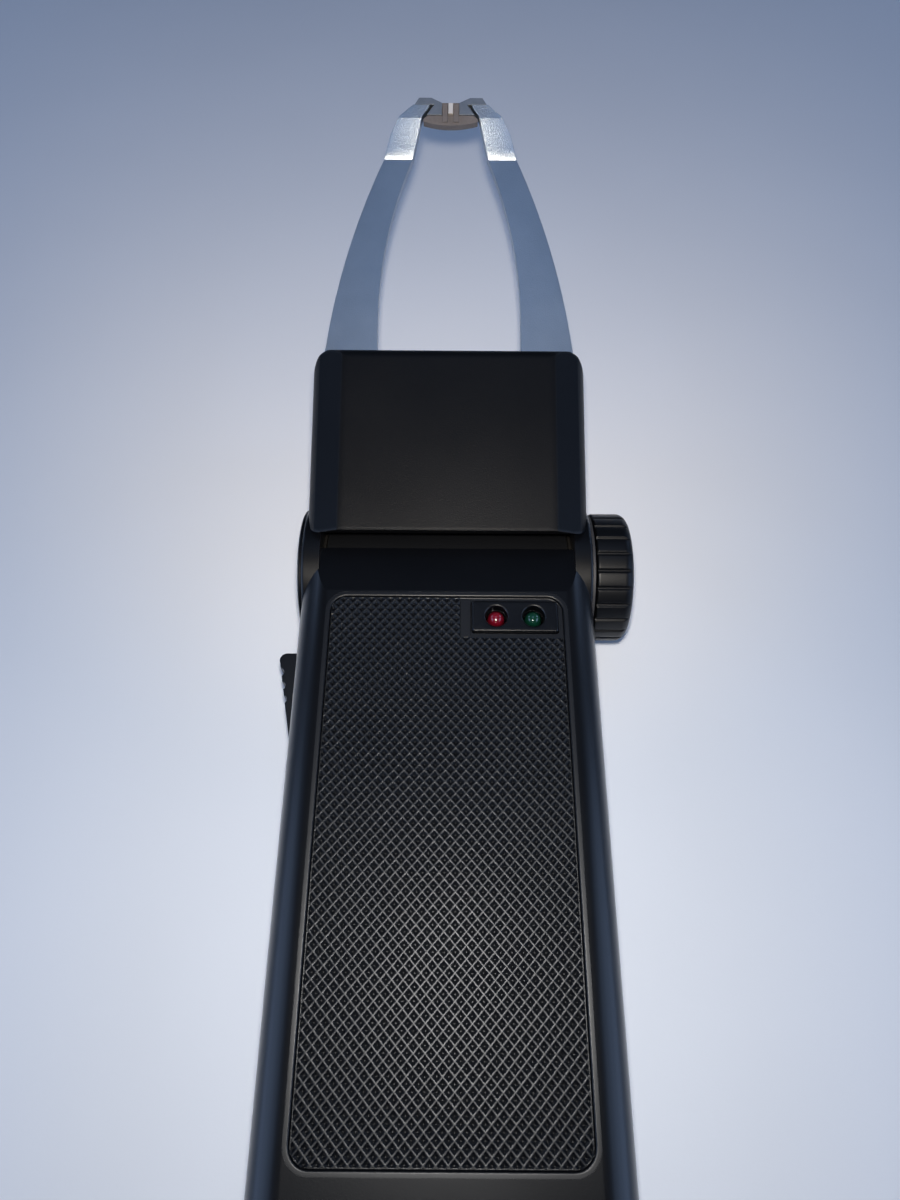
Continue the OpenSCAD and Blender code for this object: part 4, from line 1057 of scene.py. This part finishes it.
class DEMAG_OT_screws(bpy.types.Operator):
    """Cross-head screws of the shells, the board, the head and the arms"""

    bl_idname = "demag.screws"
    bl_label = "Screws"

    def execute(self, context):
        # Node, frame, then shank, head and head height in mm, and the way that the shank points
        groups = (("shell_screws", ROW, 2.6, 4.6, 1.8, 1), ("board_screws", ROW, 2.2, 4.0, 1.4, 1),
                  ("head_screws", HEAD, 2.4, 4.2, 1.6, 1), ("arm_screws", HEAD, 3.0, 5.4, 2.0, -1))
        for node, base, shank, head, head_height, way in groups:
            bm = bmesh.new()
            for low, high in solid_boxes(node, base):
                middle = (low + high) / 2
                start = low.z + head_height * MM if way > 0 else high.z - head_height * MM
                place = base @ along((middle.x, middle.y, start), (0, 0, way))
                screw(bm, place, shank * MM, head * MM, head_height * MM,
                      high.z - low.z - head_height * MM)
            piece(node + "_cross_head", bm, node)
        return {"FINISHED"}


class DEMAG_OT_power(bpy.types.Operator):
    """Two sleeved cells, their contact plates and coiled contacts"""

    bl_idname = "demag.power"
    bl_label = "Battery bay"

    def execute(self, context):
        bm = bmesh.new()
        nub = 1.0 * MM
        for low, high in solid_boxes("battery_cells"):
            middle = (low + high) / 2
            radius = (high.x - low.x) / 2
            way = 1 if middle.x < 0 else -1
            start = low.y if way > 0 else high.y
            length = high.y - low.y
            body = length - nub
            profile = [(0, 0), (radius * 0.55, 0), (radius * 0.6, 0.25 * MM), (radius * 0.86, 0.25 * MM),
                       (radius * 0.9, 0), (radius - 0.25 * MM, 0), (radius, 0.3 * MM),
                       (radius, body - 0.9 * MM), (radius - 0.3 * MM, body - 0.3 * MM),
                       (radius - 0.8 * MM, body), (radius * 0.72, body), (radius * 0.68, body - 0.3 * MM),
                       (2.75 * MM, body - 0.3 * MM), (2.75 * MM, length - 0.25 * MM),
                       (2.5 * MM, length), (0, length)]
            turned(bm, profile, along((middle.x, start, middle.z), (0, way, 0)), 64)
        piece("sleeved_cells", bm, "battery_cells")
        bm = bmesh.new()
        wire = 0.7 * MM
        for low, high in solid_boxes("battery_springs"):
            middle = (low + high) / 2
            helix(bm, along((middle.x, low.y, middle.z), (0, 1, 0)), (high.x - low.x - wire) / 2,
                  wire, high.y - low.y, 2)
        piece("coiled_contacts", bm, "battery_springs")
        dress("battery_contacts")
        return {"FINISHED"}


class DEMAG_OT_insides(bpy.types.Operator):
    """Finish of the circuit board, its pieces, the core and the coil"""

    bl_idname = "demag.insides"
    bl_label = "Insides"

    def execute(self, context):
        dress("circuit_board", "charge_capacitor", "converter_coil", "switching_transistor",
              "core_yoke", "coil_bobbin", "coil_winding")
        return {"FINISHED"}


class DEMAG_OT_stage(bpy.types.Operator):
    """Pale floor, soft light and the camera"""

    bl_idname = "demag.stage"
    bl_label = "Stage"

    def execute(self, context):
        self.camera()
        self.floor()
        self.lights()
        return {"FINISHED"}

    def camera(self):
        lens_mm = 24.96
        tilt = math.radians(26.8)
        roll = math.radians(0.4)
        spot = Vector((0.5, -5.4, 146.6)) * MM
        forward = Vector((0, math.sin(tilt), -math.cos(tilt)))
        right = Vector((math.cos(roll), math.cos(tilt) * math.sin(roll), math.sin(tilt) * math.sin(roll)))
        up = -forward.cross(right)
        data = bpy.data.cameras.new("camera")
        data.lens = lens_mm
        data.sensor_width = 36.0
        data.clip_start = 0.005
        data.clip_end = 20.0
        made = bpy.data.objects.new("camera", data)
        turn = Matrix((right, up, -forward)).transposed().to_4x4()
        made.matrix_world = Matrix.Translation(spot) @ turn
        bpy.context.scene.collection.objects.link(made)
        bpy.context.scene.camera = made

    def floor(self):
        finish = Finish("table_finish", specular=0.3)
        grain = finish.noise(finish.place(), 0.5 * MM, 2.0, 0.6)
        cloud = finish.noise(finish.place(), 60 * MM, 2.0)
        colour = colours().table
        finish.put("Base Color", finish.mix(cloud, lighter(colour, 0.96), lighter(colour, 1.03)))
        finish.put("Roughness", 0.5 + grain * 0.1)
        finish.put("Normal", finish.bump(grain, 0.01 * MM))
        bm = bmesh.new()
        half = 4.0
        bm.faces.new(ring(bm, [(-half, -half, 0), (half, -half, 0), (half, half, 0), (-half, half, 0)]))
        mesh = bpy.data.meshes.new("floor")
        bm.to_mesh(mesh)
        bm.free()
        mesh.materials.append(finish.material)
        made = bpy.data.objects.new("floor", mesh)
        bpy.context.scene.collection.objects.link(made)

    def lights(self):
        flash = (0.5, 2, 150.3)
        beam_angle = math.radians(80)
        room_strength = 0.07
        # Places, aims and sizes in mm, power in W
        for name, kind, spot, aim, size, power, tint in (
                ("key", "AREA", flash, (0, 40, 0), 7, 0.2, colours().light),
                ("beam", "SPOT", flash, (0, 175, 0), 7, 0.45, colours().beam),
                ("overhead", "AREA", (10, 205, 475), (0, 60, 20), 260, 0.14, colours().room),
                ("left", "AREA", (-560, -60, 280), (0, 60, 20), 540, 1.2, colours().room),
                ("right", "AREA", (560, -60, 280), (0, 60, 20), 540, 1.2, colours().room),
                ("left_front", "AREA", (-450, 400, 290), (0, 125, 40), 180, 0.22, colours().room),
                ("right_front", "AREA", (450, 400, 290), (0, 125, 40), 180, 0.22, colours().room)):
            data = bpy.data.lights.new(name, kind)
            if kind == "SPOT":
                data.shadow_soft_size = size / 2 * MM
                data.spot_size = beam_angle
                data.spot_blend = 1.0
            else:
                data.shape = "DISK"
                data.size = size * MM
            data.energy = power
            data.color = tint
            made = bpy.data.objects.new(name, data)
            made.location = Vector(spot) * MM
            made.rotation_mode = "QUATERNION"
            made.rotation_quaternion = (Vector(aim) - Vector(spot)).to_track_quat("-Z", "Y")
            made.visible_camera = False
            bpy.context.scene.collection.objects.link(made)
        world = bpy.data.worlds.new("room")
        world.use_nodes = True
        back = world.node_tree.nodes["Background"]
        back.inputs["Color"].default_value = rgba(colours().room)
        back.inputs["Strength"].default_value = room_strength
        bpy.context.scene.world = world
        bpy.context.scene.view_settings.view_transform = "Standard"


class DEMAG_PT_pieces(bpy.types.Panel):
    """Lists the pieces, sizes and colours"""

    bl_idname = "DEMAG_PT_pieces"
    bl_label = "Tape head demagnetizer"
    bl_space_type = "VIEW_3D"
    bl_region_type = "UI"
    bl_category = "Demagnetizer"

    def draw(self, context):
        for operator in OPERATORS:
            self.layout.operator(operator.bl_idname)
        for group in (context.scene.demag_sizes, context.scene.demag_colours):
            for name in group.bl_rna.properties.keys():
                if name not in ("rna_type", "name"):
                    self.layout.prop(group, name)


OPERATORS = (DEMAG_OT_stage, DEMAG_OT_shells, DEMAG_OT_grip, DEMAG_OT_lamps, DEMAG_OT_hinge,
             DEMAG_OT_lever, DEMAG_OT_arms, DEMAG_OT_tip, DEMAG_OT_screws, DEMAG_OT_power,
             DEMAG_OT_insides)
CLASSES = (DemagSizes, DemagColours, *OPERATORS, DEMAG_PT_pieces)


def register():
    for item in CLASSES:
        bpy.utils.register_class(item)
    bpy.types.Scene.demag_sizes = PointerProperty(type=DemagSizes)
    bpy.types.Scene.demag_colours = PointerProperty(type=DemagColours)


def unregister():
    del bpy.types.Scene.demag_colours
    del bpy.types.Scene.demag_sizes
    for item in reversed(CLASSES):
        bpy.utils.unregister_class(item)


def main():
    register()
    for operator in OPERATORS:
        family, name = operator.bl_idname.split(".")
        getattr(getattr(bpy.ops, family), name)()


if __name__ == "__main__":
    main()
